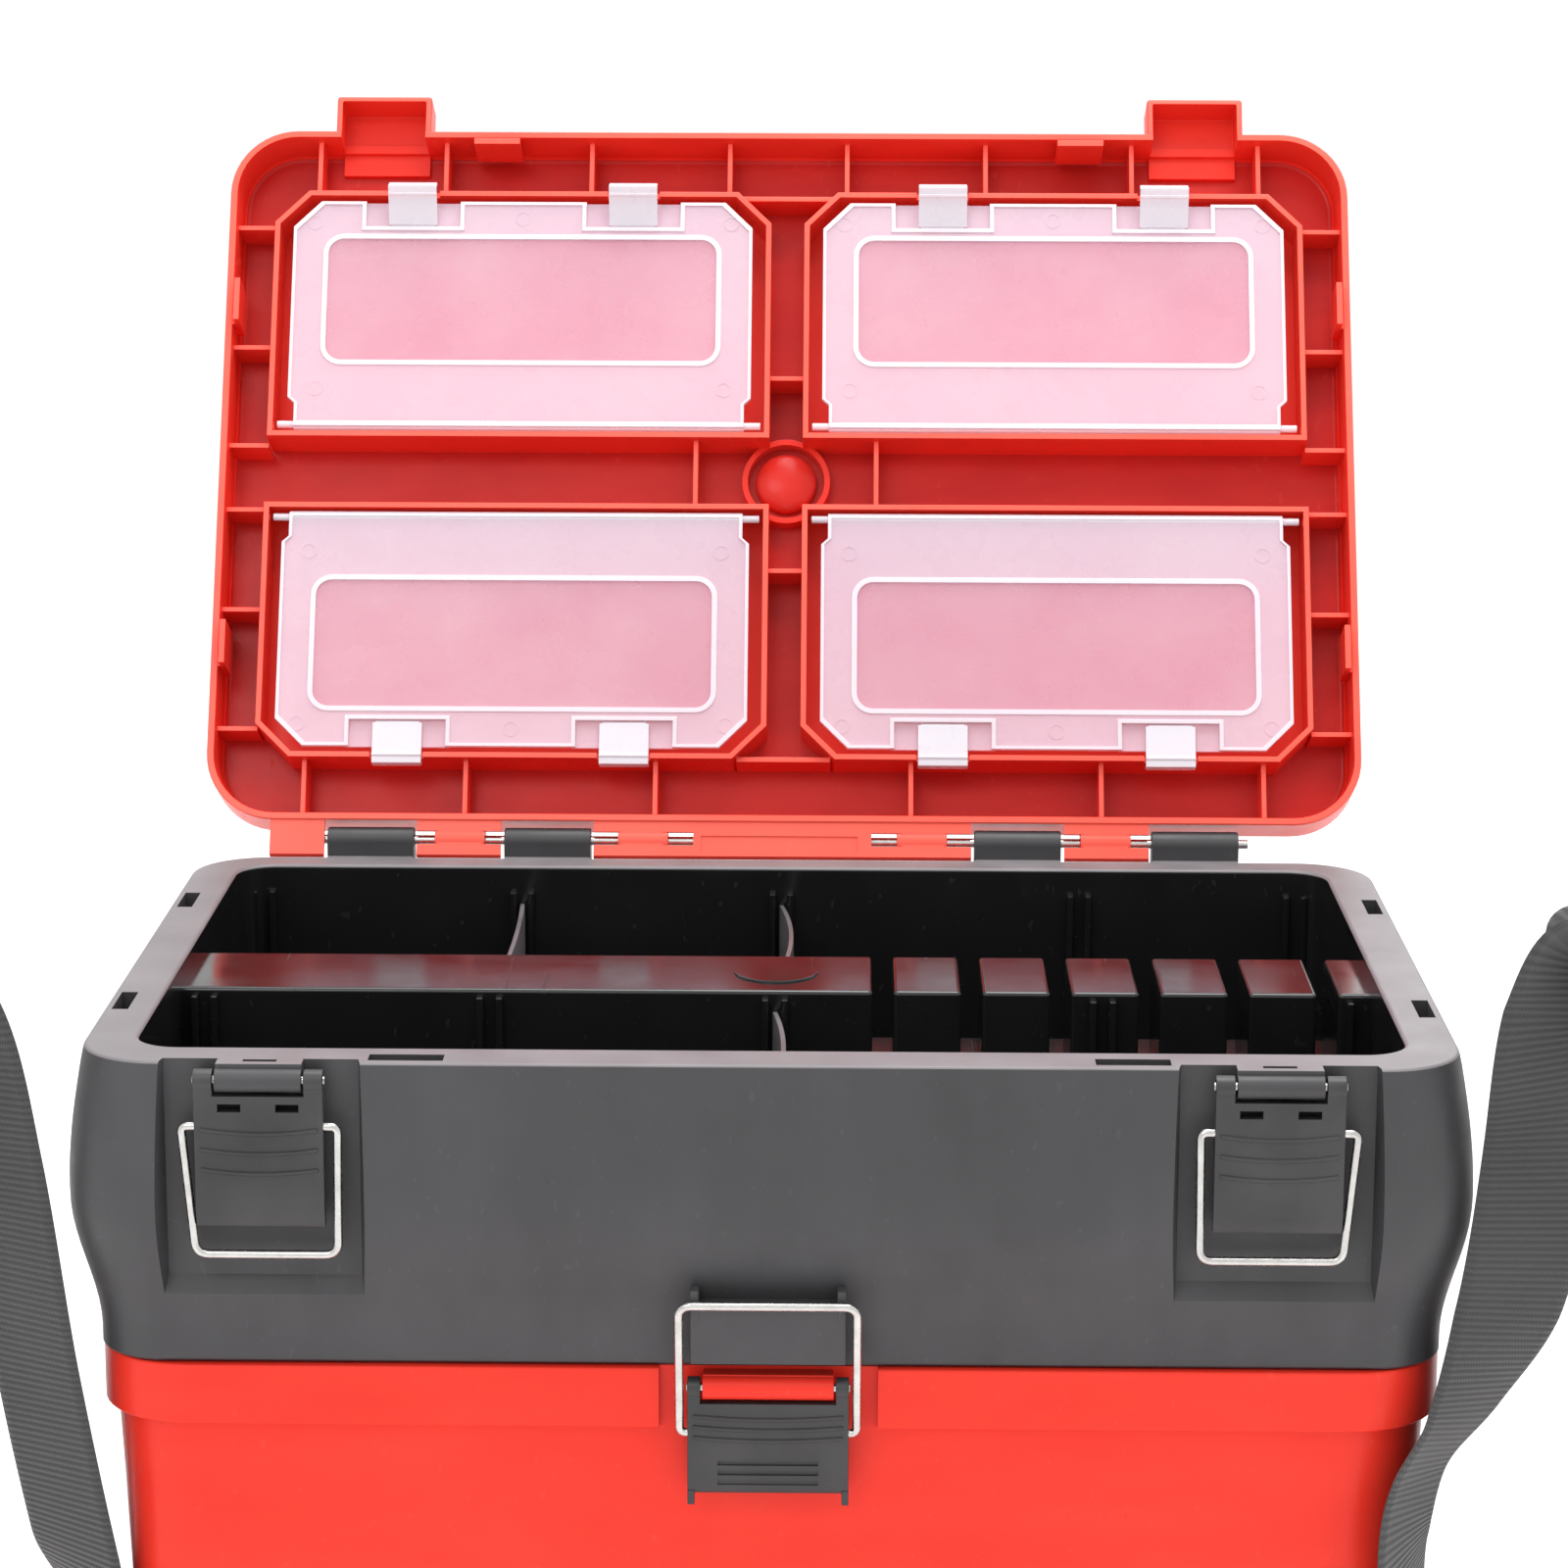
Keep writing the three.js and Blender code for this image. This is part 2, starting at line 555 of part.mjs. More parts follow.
// the thin flange under the lid's rear edge, open round the tray's knuckles and over the rods
function lidFlange() {
  const underside = LID_AXIS_Z - 3.6;
  const top = LID_AXIS_Z - 1.9;
  const sheet = profile([
    [HALF_D - 1, underside], [LID_AXIS_Y + 5.65, underside], [LID_AXIS_Y + 6.42, top], [HALF_D - 1, top],
  ], -FLANGE_LEFT, FLANGE_RIGHT);
  const gaps = bothSides((side) => TRAY_KNUCKLES.map((middle) => (
    sideBox(side, middle - 14.8, middle + 14.8, HALF_D, HALF_D + 14, underside - 1, top + 1)
  )));
  const windows = bothSides((side) => FLANGE_WINDOWS.map(([near, far]) => (
    sideBox(side, near, far, LID_AXIS_Y - 2.2, LID_AXIS_Y + 2.2, underside - 1, top + 1)
  )));
  const recess = box(-26, 24, LID_AXIS_Y - 1, LID_AXIS_Y + 4.8, underside - 1, underside + 0.4);
  return cut(sheet, [...gaps, ...windows, recess]);
}

function lidHinge() {
  const knuckles = bothSides((side) => LID_KNUCKLES.map((middle) => join([
    bar(side * middle - 8, side * middle + 8, LID_AXIS_Y, LID_AXIS_Z, KNUCKLE_RADIUS),
    box(side * middle - 8, side * middle + 8, HALF_D - 1, LID_AXIS_Y, RIM + 1.4, LID_AXIS_Z + 3.4),
  ])));
  return cut(join([...knuckles, lidFlange()]), [
    bar(-HALF_W, HALF_W, LID_AXIS_Y, LID_AXIS_Z, ROD_RADIUS + GAP),
  ]);
}

function lid() {
  const edge = (z) => (z > LID_TOP - 4 ? -1.1 * (z - LID_TOP + 4) : 0);
  const outer = prism(roundedRect(HALF_W, -HALF_D, HALF_D, CORNER), LID_BOTTOM, LID_TOP, 5, edge);
  const inside = roundedRect(HALF_W - LID_SKIN, LID_SKIN - HALF_D, HALF_D - LID_SKIN, CORNER - LID_SKIN);
  const hollow = prism(inside, LID_BOTTOM - 1, LID_INSIDE);
  const seat = prism(roundedRect(150, -85, 85, 30), LID_TOP - 1, LID_TOP + 1);
  const ring = disc(0, 0, RIM + 12, LID_INSIDE + 1, 14.5);
  const boss = cut(ring, [disc(0, 0, RIM + 11, LID_INSIDE - 0.5, 12.6)]);
  const shell = cut(outer, [hollow, seat]);
  const inner = [lidPockets(), ...lidRibs(), boss, ...lidTabs()];
  const whole = cut(join([shell, ...inner, ...lidCatches(), lidHinge()]), catchHollows());
  return piece('lid', whole, plastic(0xd0241d, 0.38));
}

// a domed plug that sits in the boss at the middle of the lid's inside
function lidPlug() {
  const radius = 10;
  const dome = 3.2;
  const skirt = 2;
  const outline = [new THREE.Vector2(0, -skirt), new THREE.Vector2(radius, -skirt)];
  for (let i = 0; i <= 4; i += 1) {
    const turn = (Math.PI / 2) * (i / 4);
    outline.push(new THREE.Vector2(radius * Math.cos(turn), dome * Math.sin(turn)));
  }
  outline[outline.length - 1].x = 0;
  const cap = new THREE.LatheGeometry(outline, 20);
  cap.rotateX(-Math.PI / 2);
  cap.translate(0, 0, LID_INSIDE - 0.5 - skirt - GAP);
  return piece('lid_center_plug', solid(cap), plastic(0xb81d18, 0.35));
}

// ---- pocket covers and their snap latches ----
// drawn round the cover's own hinge axis: d runs from the hinge edge to the latch edge
function cover(name) {
  const half = COVER_WIDTH / 2;
  const tuck = 2.2;
  const near = COVER_NEAR - COVER_AXIS_D;
  const far = COVER_FAR - COVER_AXIS_D;
  const face = COVER_FACE - COVER_AXIS_Z;
  const outline = [
    [-half + tuck, 0], [half - tuck, 0], [half - tuck, 7], [half, 9], [half, far - 9], [half - 9, far],
    [9 - half, far], [-half, far - 9], [-half, 9], [tuck - half, 7],
  ];
  const plate = prism(polygon(outline), face, face + COVER_THICK);
  const barrel = bar(tuck - half, half - tuck, 0, 0, -near, 10);
  const stubs = bar(-half - 3.2, half + 3.2, 0, 0, 1.2, 8);
  const wells = [-SNAP_OFFSET, SNAP_OFFSET].map((x) => (
    box(x - 17, x + 17, SNAP_ROOT - COVER_AXIS_D - 1.4, far + 1, face - 1, face + COVER_THICK + 1)
  ));
  const panZ = RIM + 3 - COVER_AXIS_Z;
  const pans = [-SNAP_OFFSET, SNAP_OFFSET].map((x) => (
    box(x - 18.2, x + 18.2, SNAP_ROOT - COVER_AXIS_D - 2.6, far, panZ, panZ + 1.2)
  ));
  const frame = prism(roundedRect(66, 20, 66, 7), face - 0.5, face + 0.5)
    .subtract(prism(roundedRect(64.2, 21.8, 64.2, 5.2), face - 1, face + 1));
  const whole = join([cut(join([plate, barrel]), wells), stubs, ...pans, frame]);
  return piece(name, whole, plastic(0xe8b4c0, 0.3));
}

// drawn round its own root line, lying shut
function snap(name) {
  const reach = SNAP_TIP - SNAP_ROOT;
  const half = SNAP_WIDTH / 2;
  const plate = box(-half, half, -0.5, reach, -SNAP_THICK / 2, SNAP_THICK / 2);
  const hook = box(-half, half, reach - 1.2, reach, -SNAP_THICK / 2, 3.6);
  const grip = box(-half, half, reach - 3.4, reach - 2.4, -SNAP_THICK / 2 - 0.5, 0);
  return piece(name, join([plate, hook, grip]), plastic(0xe8b4c0, 0.3));
}

// a group that turns its content about the X axis through a point of the parent
function pivot(name, x, y, z, angle, children) {
  const group = new THREE.Group();
  group.name = name;
  group.position.set(x, y, z);
  group.rotation.x = angle;
  group.add(...children);
  return group;
}

function coverSet(row, column) {
  const sideX = column === 'left' ? -1 : 1;
  const shut = row === 'bottom';
  const place = new THREE.Group();
  place.position.set(sideX * POCKET_MIDDLE_X, 0, COVER_AXIS_Z);
  place.rotation.z = shut ? 0 : Math.PI;
  const snaps = [-1, 1].map((k) => {
    const label = (shut ? k : -k) < 0 ? 'a' : 'b';
    const name = `snap_${row}_${column}_${label}`;
    const rootZ = COVER_FACE - COVER_AXIS_Z + SNAP_THICK / 2 - 0.2;
    const turn = shut ? 0 : -SNAP_OPEN;
    return pivot(`axis_${name}`, k * SNAP_OFFSET, SNAP_ROOT - COVER_AXIS_D, rootZ, turn, [snap(name)]);
  });
  const name = `cover_${row}_${column}`;
  place.add(pivot(`axis_${name}`, 0, COVER_AXIS_D, 0, 0, [cover(name), ...snaps]));
  return place;
}

// ---- hinge rods and pins ----
function rod(name, x0, x1, y, z, radius) {
  return piece(name, bar(x0, x1, y, z, radius, 14), steel(0xb9bcc0, 0.25));
}

// ---- draw latches, drawn round the lever's axis with the lever hanging ----
function lever(name, size) {
  const { half, tongue, length } = size;
  const plate = profile([
    [0.9, -3.9], [0.9, -length], [-1.2, -length], [-2.4, 3 - length], [-2.4, -3.9],
  ].reverse(), -half, half);
  const ears = bothSides((side) => [join([
    sideBar(side, tongue + GAP * 2, half, 0, 0, 3),
    sideBox(side, tongue + GAP * 2, half, -2.4, 0.9, -5, 0.5),
  ])]);
  const ridges = [-13.5, -19, -24.5].map((z) => box(-half + 3, half - 3, -2.9, -2, z - 0.5, z + 0.5));
  const windows = bothSides((side) => [sideBox(side, 4.6, 10.8, -4, 2, -8.2, -6)]);
  const bores = [bar(-half - 1, half + 1, 0, 0, LATCH_PIN_RADIUS + GAP)];
  const sockets = bothSides((side) => [
    sideBar(side, half - 5.4, half + 1, -0.75, -BAIL_DROP, WIRE_RADIUS + 0.35),
  ]);
  const whole = cut(join([plate, ...ears, ...ridges]), [...bores, ...windows, ...sockets]);
  return piece(name, whole, plastic(0x242427, 0.45));
}

// a U of round wire whose ends turn inward; drawn hanging, round its own axis
function bail(name, size) {
  const leg = size.bail;
  const end = size.half - 4.8;
  const bend = 3.4;
  const corner = (a, b, c) => new THREE.QuadraticBezierCurve3(a, b, c);
  const at = (x, z) => new THREE.Vector3(x, 0, z);
  const path = new THREE.CurvePath();
  const low = -size.reach;
  path.add(new THREE.LineCurve3(at(-end, 0), at(-leg + 1.6, 0)));
  path.add(corner(at(-leg + 1.6, 0), at(-leg, 0), at(-leg, -1.6)));
  path.add(new THREE.LineCurve3(at(-leg, -1.6), at(-leg, low + bend)));
  path.add(corner(at(-leg, low + bend), at(-leg, low), at(-leg + bend, low)));
  path.add(new THREE.LineCurve3(at(-leg + bend, low), at(leg - bend, low)));
  path.add(corner(at(leg - bend, low), at(leg, low), at(leg, low + bend)));
  path.add(new THREE.LineCurve3(at(leg, low + bend), at(leg, -1.6)));
  path.add(corner(at(leg, -1.6), at(leg, 0), at(leg - 1.6, 0)));
  path.add(new THREE.LineCurve3(at(leg - 1.6, 0), at(end, 0)));
  const section = new THREE.Shape();
  section.absarc(0, 0, WIRE_RADIUS, 0, 2 * Math.PI);
  const wire = new THREE.ExtrudeGeometry(section, { extrudePath: path, steps: 46, curveSegments: 4 });
  return piece(name, solid(wire), steel(0xc9ccd0, 0.2));
}

function latch(name, size, x, y, z, bailTurn) {
  const bailAxis = pivot(`axis_bail_${name}`, 0, -0.75, -BAIL_DROP, bailTurn, [bail(`bail_${name}`, size)]);
  return pivot(`axis_lever_${name}`, x, y, z, 0, [lever(`lever_${name}`, size), bailAxis]);
}

function latchPin(name, size, x, y, z) {
  const reach = size.half + 0.4;
  return rod(name, x - reach, x + reach, y, z, LATCH_PIN_RADIUS);
}

// ---- strap ----
function anchor(name, side) {
  const x0 = Math.min(side * ANCHOR_X, side * (ANCHOR_X + 14));
  const body = profile([
    [ANCHOR_Y - 25, 34], [ANCHOR_Y + 25, 34], [ANCHOR_Y + 25, 60], [ANCHOR_Y + 21.4, 66],
    [ANCHOR_Y - 21.4, 66], [ANCHOR_Y - 25, 60],
  ], x0, x0 + 14);
  const mouth = sideBox(side, 181.2, 186.6, ANCHOR_Y - 19.8, ANCHOR_Y + 19.8, 56, 68);
  return piece(name, body.subtract(mouth), plastic(0x202022, 0.5));
}

// the flat webbing, extruded straight and then laid along its route
function strap() {
  const steps = 80;
  const curve = new THREE.CatmullRomCurve3(STRAP_ROUTE.map((p) => new THREE.Vector3(...p)));
  const across = new THREE.CatmullRomCurve3(STRAP_ACROSS.map((p) => new THREE.Vector3(...p)));
  const section = polygon([
    [-STRAP_WIDTH / 2, -STRAP_THICK / 2], [STRAP_WIDTH / 2, -STRAP_THICK / 2],
    [STRAP_WIDTH / 2, STRAP_THICK / 2], [-STRAP_WIDTH / 2, STRAP_THICK / 2],
  ]);
  const geometry = new THREE.ExtrudeGeometry(section, { depth: 1, steps, bevelEnabled: false });
  const at = geometry.attributes.position;
  for (let i = 0; i < at.count; i += 1) {
    const t = THREE.MathUtils.clamp(at.getZ(i), 0, 1);
    const tangent = curve.getTangent(t);
    const wide = across.getPoint(t);
    wide.addScaledVector(tangent, -wide.dot(tangent)).normalize();
    const normal = new THREE.Vector3().crossVectors(tangent, wide);
    const place = curve.getPoint(t).addScaledVector(wide, at.getX(i)).addScaledVector(normal, at.getY(i));
    at.setXYZ(i, place.x, place.y, place.z);
  }
  return piece('strap', solid(geometry), plastic(0x3c3c3e, 0.9));
}

// a plastic keeper round the strap, behind the box
function strapKeeper() {
  const [, y, z] = STRAP_ROUTE.find(([x]) => x === 0);
  const body = box(-13, 13, y - 3.6, y + 3.6, 0.4, z + 21.5);
  const throat = box(-14, 14, y - 1.8, y + 1.8, z - 19.7, z + 19.7);
  return piece('strap_keeper', body.subtract(throat), plastic(0x202022, 0.45));
}

// ---- assembly ----
const toolbox = new THREE.Group();
const lidShut = new THREE.Group();
lidShut.position.set(0, -LID_AXIS_Y, -LID_AXIS_Z);
lidShut.add(lid(), lidPlug());
for (const row of ['top', 'bottom']) {
  for (const column of ['left', 'right']) {
    lidShut.add(coverSet(row, column));
  }
}
toolbox.add(bucket(), tray(), ...dividers());
toolbox.add(pivot('axis_lid', 0, LID_AXIS_Y, LID_AXIS_Z, -LID_OPEN, [lidShut]));
toolbox.add(
  rod('lid_hinge_rod_left', -148.5, -27, LID_AXIS_Y, LID_AXIS_Z, ROD_RADIUS),
  rod('lid_hinge_rod_right', 27, 148.5, LID_AXIS_Y, LID_AXIS_Z, ROD_RADIUS),
  rod('tray_hinge_pin_left', -TRAY_HINGE_X - 17, 17 - TRAY_HINGE_X, TRAY_AXIS_Y, TRAY_AXIS_Z, ROD_RADIUS),
  rod('tray_hinge_pin_right', TRAY_HINGE_X - 17, TRAY_HINGE_X + 17, TRAY_AXIS_Y, TRAY_AXIS_Z, ROD_RADIUS),
);
toolbox.add(
  latch('left', SIDE_LEVER, -SIDE_LATCH_X, SIDE_LATCH_Y, SIDE_LATCH_Z, 0),
  latch('right', SIDE_LEVER, SIDE_LATCH_X, SIDE_LATCH_Y, SIDE_LATCH_Z, 0),
  latch('center', CENTRE_LEVER, 0, CENTRE_LATCH_Y, CENTRE_LATCH_Z, CENTRE_BAIL_TURN),
  latchPin('latch_pin_left', SIDE_LEVER, -SIDE_LATCH_X, SIDE_LATCH_Y, SIDE_LATCH_Z),
  latchPin('latch_pin_right', SIDE_LEVER, SIDE_LATCH_X, SIDE_LATCH_Y, SIDE_LATCH_Z),
  latchPin('latch_pin_center', CENTRE_LEVER, 0, CENTRE_LATCH_Y, CENTRE_LATCH_Z),
);
toolbox.add(anchor('strap_anchor_left', -1), anchor('strap_anchor_right', 1), strap(), strapKeeper());

export default toolbox;
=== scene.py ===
"""Looks of the two-section tackle box: a red bucket, a black compartment tray and a red lid with
four frosted pocket covers, wire-bail latches and a webbing shoulder strap.

Shapes are drawn in millimetres in the part's own frame (front at -Y, +Z up) and turned into metres
when a piece is placed. The lid and what it carries are drawn shut and then turned open."""

import json
import math

import bmesh
import bpy
from mathutils import Matrix, Vector


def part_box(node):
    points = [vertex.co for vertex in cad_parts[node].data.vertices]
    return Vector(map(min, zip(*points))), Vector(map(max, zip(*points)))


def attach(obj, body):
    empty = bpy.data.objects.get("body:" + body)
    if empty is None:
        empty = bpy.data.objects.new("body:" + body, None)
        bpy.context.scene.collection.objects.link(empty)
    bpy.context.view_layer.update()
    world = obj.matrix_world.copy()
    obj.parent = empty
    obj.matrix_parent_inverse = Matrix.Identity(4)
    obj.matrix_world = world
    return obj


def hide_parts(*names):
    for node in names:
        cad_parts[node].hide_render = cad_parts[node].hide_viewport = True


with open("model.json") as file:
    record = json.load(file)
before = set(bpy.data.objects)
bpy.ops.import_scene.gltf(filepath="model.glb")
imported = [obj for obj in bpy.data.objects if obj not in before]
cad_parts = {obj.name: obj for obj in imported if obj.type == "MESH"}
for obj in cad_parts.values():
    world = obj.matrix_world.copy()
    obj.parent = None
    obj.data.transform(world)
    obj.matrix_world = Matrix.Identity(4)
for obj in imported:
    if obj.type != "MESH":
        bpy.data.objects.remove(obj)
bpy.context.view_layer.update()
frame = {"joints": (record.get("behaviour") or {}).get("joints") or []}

MM = 0.001
GAP = 0.3
ARC = 12  # steps in a quarter turn of a large corner


def node_box(node):
    """Lowest and highest corner of a CAD node, in millimetres."""
    low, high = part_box(node)
    return low / MM, high / MM


def joint_place(name):
    """The y and z of a joint's axis, in millimetres."""
    joint = next(j for j in frame["joints"] if j["name"] == name)
    return joint["pos_m"][1] / MM, joint["pos_m"][2] / MM


# ---- driving dimensions ----
HALF_W = 185
HALF_D = 118
CORNER = 22
BUCKET_TOP = 205
BUCKET_TAPER = 8
BAND_HEIGHT = 17
WALL = 3
TRAY_BOTTOM = node_box("bucket")[1].z + GAP
TRAY_AXIS_Y, TRAY_AXIS_Z = joint_place("tray_hinge")
LID_AXIS_Y, LID_AXIS_Z = joint_place("lid_hinge")
RIM = 290
BULGE = 5
BULGE_DROP = 41
FOOT_DROP = 80
FOOT_INSET = 2.6
INNER_HALF_W = 171
INNER_FRONT = -103
INNER_BACK = 107
RIDGE_HALF = 20
RIDGE_TOP = RIM - 6
SLOT_WIDTH = 6
SLOT_FLOOR = 259
SLOT_CENTRES = [31 + 25.5 * i for i in range(6)]
RIB_STATIONS = [-164, -82, 0, 94, 162]
LID_TOP = 310
LID_SKIN = 2.5
LID_INSIDE = LID_TOP - LID_SKIN
LID_OPEN = math.radians(116.4)
POCKET_INNER_X = 7.2
POCKET_OUTER_X = 168.2
POCKET_MIDDLE_X = (POCKET_INNER_X + POCKET_OUTER_X) / 2
POCKET_NEAR = 13.1
POCKET_FAR = 95.3
POCKET_WALL = 1.8
COVER_HALF = 76
COVER_NEAR = 13.9
COVER_FAR = 93.3
COVER_AXIS_D = 15.9
COVER_AXIS_Z = RIM + 3.4
COVER_FACE = RIM + 1.6 - COVER_AXIS_Z
COVER_THICK = 1.6
SNAP_OFFSET = 36.5
SNAP_ROOT = 85.9 - COVER_AXIS_D
SNAP_REACH = 13
SNAP_THICK = 1.3
SNAP_OPEN = math.radians(35)
TRAY_HINGE_X = 100
TRAY_LUG_RADIUS = 5.2
ROD_RADIUS = 1.5
PIN_RADIUS = 1.25
SIDE_LATCH_X = 135
SIDE_LATCH_Y, SIDE_LATCH_Z = joint_place("lever_left_pivot")
CENTRE_LATCH_Y, CENTRE_LATCH_Z = joint_place("lever_center_pivot")
RECESS_FLOOR = -HALF_D + 3.5
SIDE_LEVER = {"half": 17.2, "tongue": 11.5, "length": 40, "bail": 20.8, "reach": 35.5}
CENTRE_LEVER = {"half": 21.7, "tongue": 17.6, "length": 29.5, "bail": 23.8, "reach": 38.5}
BAIL_BACK = 0.75
BAIL_DROP = 12.5
WIRE_RADIUS = 1.2
CENTRE_BAIL_TURN = math.radians(-170)
TRAY_KNUCKLES = (75, 131.5)
LID_KNUCKLES = (44.5, 103)
FLANGE_LEFT = -163.7
FLANGE_RIGHT = 117
FLANGE_WINDOWS = ((28.4, 38.4), (51.5, 61), (89, 96), (110, 117))
CATCH_HALF = 15.8
CATCH_ROOM_HALF = 14
CATCH_REACH = 12.8
CATCH_TOP = RIM + 16.4
CATCH_CEILING = RIM + 14.6
RIM_THICK = 0.8
PANEL_DEPTH = 0.15
STRAP_WIDTH = 38
STRAP_THICK = 1.8

# the strap's middle line from the left anchor round the back to the right one, and the direction
# across it at each of those places
STRAP_ROUTE = [
    (-183.8, -84, 57), (-184, -84.3, 69), (-185.8, -88, 105), (-192.1, -98.2, 146), (-201, -99.9, 200),
    (-209, -99.9, 260), (-218, -98.4, 303), (-234, -96.6, 324), (-251, -93, 303), (-255, -80, 245),
    (-254, -45, 160), (-250, 5, 84), (-232, 62, 40), (-200, 118, 27), (-150, 150, 22),
    (0, 162, 21),
    (150, 150, 22), (198, 118, 27), (230, 64, 40), (248, 5, 84), (252, -42, 158),
    (250, -74, 235), (244, -88, 290), (230, -97, 317), (213, -103, 322), (208, -106.5, 303),
    (206.6, -107.3, 267), (199, -108, 219), (188.4, -105.7, 191),
    (177, -105.6, 171), (173.5, -107, 149),
    (180.5, -95, 105), (184, -84.3, 69), (183.8, -84, 57),
]
STRAP_ACROSS = [
    (0, 1, 0), (0, 1, 0), (-0.2, 0.98, 0), (-0.76, 0.65, 0), (-0.76, 0.65, 0),
    (-0.76, 0.65, 0), (-0.7, 0.71, 0), (-0.4, 0.92, 0), (-0.2, 0.98, 0), (-0.2, 0.97, 0.05),
    (-0.1, 0.93, 0.3), (-0.1, 0.82, 0.55), (-0.1, 0.55, 0.83), (-0.05, 0.25, 0.97), (0, 0.05, 1),
    (0, 0, 1),
    (0, 0.05, 1), (0.05, 0.25, 0.97), (0.1, 0.55, 0.83), (0.1, 0.82, 0.55), (0.1, 0.93, 0.3),
    (0.2, 0.97, 0.05), (0.2, 0.98, 0), (0.3, 0.95, 0), (0.5, 0.86, 0), (0.8, 0.6, 0),
    (0.9, 0.43, 0), (0.87, 0.5, 0), (0.69, 0.73, 0), (0.55, 0.84, 0), (0.477, 0.879, 0),
    (0.2, 0.98, 0), (0, 1, 0), (0, 1, 0),
]


# ---- camera, light and floor ----
def make_camera():
    data = bpy.data.cameras.new("camera")
    data.sensor_width = 36
    data.lens = 97.1
    camera = bpy.data.objects.new("camera", data)
    camera.location = (0.0186, -1.1932, 0.6008)
    camera.rotation_euler = (math.radians(77.69), math.radians(-0.16), math.radians(0.825))
    bpy.context.scene.collection.objects.link(camera)
    bpy.context.scene.camera = camera


def softbox(name, place, aim, size, watts, colour=(1, 1, 1)):
    data = bpy.data.lights.new(name, "AREA")
    data.shape = "RECTANGLE"
    data.size, data.size_y = size
    data.energy = watts
    data.color = colour
    light = bpy.data.objects.new(name, data)
    light.location = place
    light.rotation_euler = (Vector(aim) - Vector(place)).to_track_quat("-Z", "Y").to_euler()
    bpy.context.scene.collection.objects.link(light)


def make_studio():
    scene = bpy.context.scene
    scene.view_settings.view_transform = "Standard"
    world = bpy.data.worlds.new("studio")
    world.use_nodes = True
    background = world.node_tree.nodes["Background"]
    background.inputs["Color"].default_value = (1, 1, 1, 1)
    background.inputs["Strength"].default_value = 1.08
    scene.world = world
    softbox("key", (-0.6, -1.4, 1.6), (0, 0, 0.3), (0.7, 0.5), 6)
    softbox("top", (0.1, 0.1, 1.5), (0, 0, 0.3), (0.9, 0.7), 14)
    softbox("back", (0.3, 1.9, 1.3), (0, 0, 0.3), (1.4, 1.0), 10)


def make_floor():
    bm = bmesh.new()
    bmesh.ops.create_circle(bm, cap_ends=True, segments=96, radius=60)
    mesh = bpy.data.meshes.new("floor")
    bm.to_mesh(mesh)
    bm.free()
    floor = bpy.data.objects.new("floor", mesh)
    floor.location.z = -0.0005
    bpy.context.scene.collection.objects.link(floor)
    mesh.materials.append(floor_material())


# ---- materials ----
class Nodes:
    """A material's node tree with short ways to add what the materials here share."""

    def __init__(self, name):
        self.material = bpy.data.materials.new(name)
        self.material.use_nodes = True
        self.tree = self.material.node_tree
        self.shader = self.tree.nodes["Principled BSDF"]
        self.place = self.add("ShaderNodeTexCoord").outputs["Object"]
        self.height = None

    def add(self, kind, **settings):
        node = self.tree.nodes.new(kind)
        for name, value in settings.items():
            setattr(node, name, value)
        return node

    def link(self, a, b):
        self.tree.links.new(a, b)

    def set(self, **values):
        for name, value in values.items():
            self.shader.inputs[name.replace("_", " ")].default_value = value

    def stretched(self, scale):
        """The place on the object, scaled by a different amount along each axis."""
        node = self.add("ShaderNodeMapping")
        node.inputs["Scale"].default_value = scale
        self.link(self.place, node.inputs["Vector"])
        return node.outputs["Vector"]

    def noise(self, scale, detail=3.0, rough=0.55, place=None):
        node = self.add("ShaderNodeTexNoise")
        node.inputs["Scale"].default_value = scale
        node.inputs["Detail"].default_value = detail
        node.inputs["Roughness"].default_value = rough
        self.link(place or self.place, node.inputs["Vector"])
        return node.outputs["Fac"]

    def ramp(self, value, low, high, at=(0.3, 0.7)):
        """value spread from the shade or number low to high, between two stops."""
        node = self.add("ShaderNodeMapRange")
        node.inputs["From Min"].default_value = at[0]
        node.inputs["From Max"].default_value = at[1]
        node.inputs["To Min"].default_value = low
        node.inputs["To Max"].default_value = high
        self.link(value, node.inputs["Value"])
        return node.outputs["Result"]

    def mix(self, share, first, second):
        """Two colours mixed; either may be a colour or the output of a node."""
        node = self.add("ShaderNodeMix", data_type="RGBA")
        self.link(share, node.inputs[0])
        for socket, colour in ((node.inputs[6], first), (node.inputs[7], second)):
            if isinstance(colour, tuple):
                socket.default_value = (*colour, 1)
            else:
                self.link(colour, socket)
        return node.outputs[2]

    def math(self, operation, a, b):
        node = self.add("ShaderNodeMath", operation=operation)
        for socket, value in zip(node.inputs, (a, b)):
            if isinstance(value, (int, float)):
                socket.default_value = value
            else:
                self.link(value, socket)
        return node.outputs[0]

    def colour(self, output):
        self.link(output, self.shader.inputs["Base Color"])

    def roughness(self, output):
        self.link(output, self.shader.inputs["Roughness"])

    def bump(self, height, depth_mm, strength=1.0):
        """Adds relief of a depth in millimetres."""
        node = self.add("ShaderNodeBump")
        node.inputs["Strength"].default_value = strength
        node.inputs["Distance"].default_value = depth_mm * MM
        self.link(height, node.inputs["Height"])
        if self.height:
            self.link(self.height, node.inputs["Normal"])
        self.height = node.outputs["Normal"]
        self.link(self.height, self.shader.inputs["Normal"])


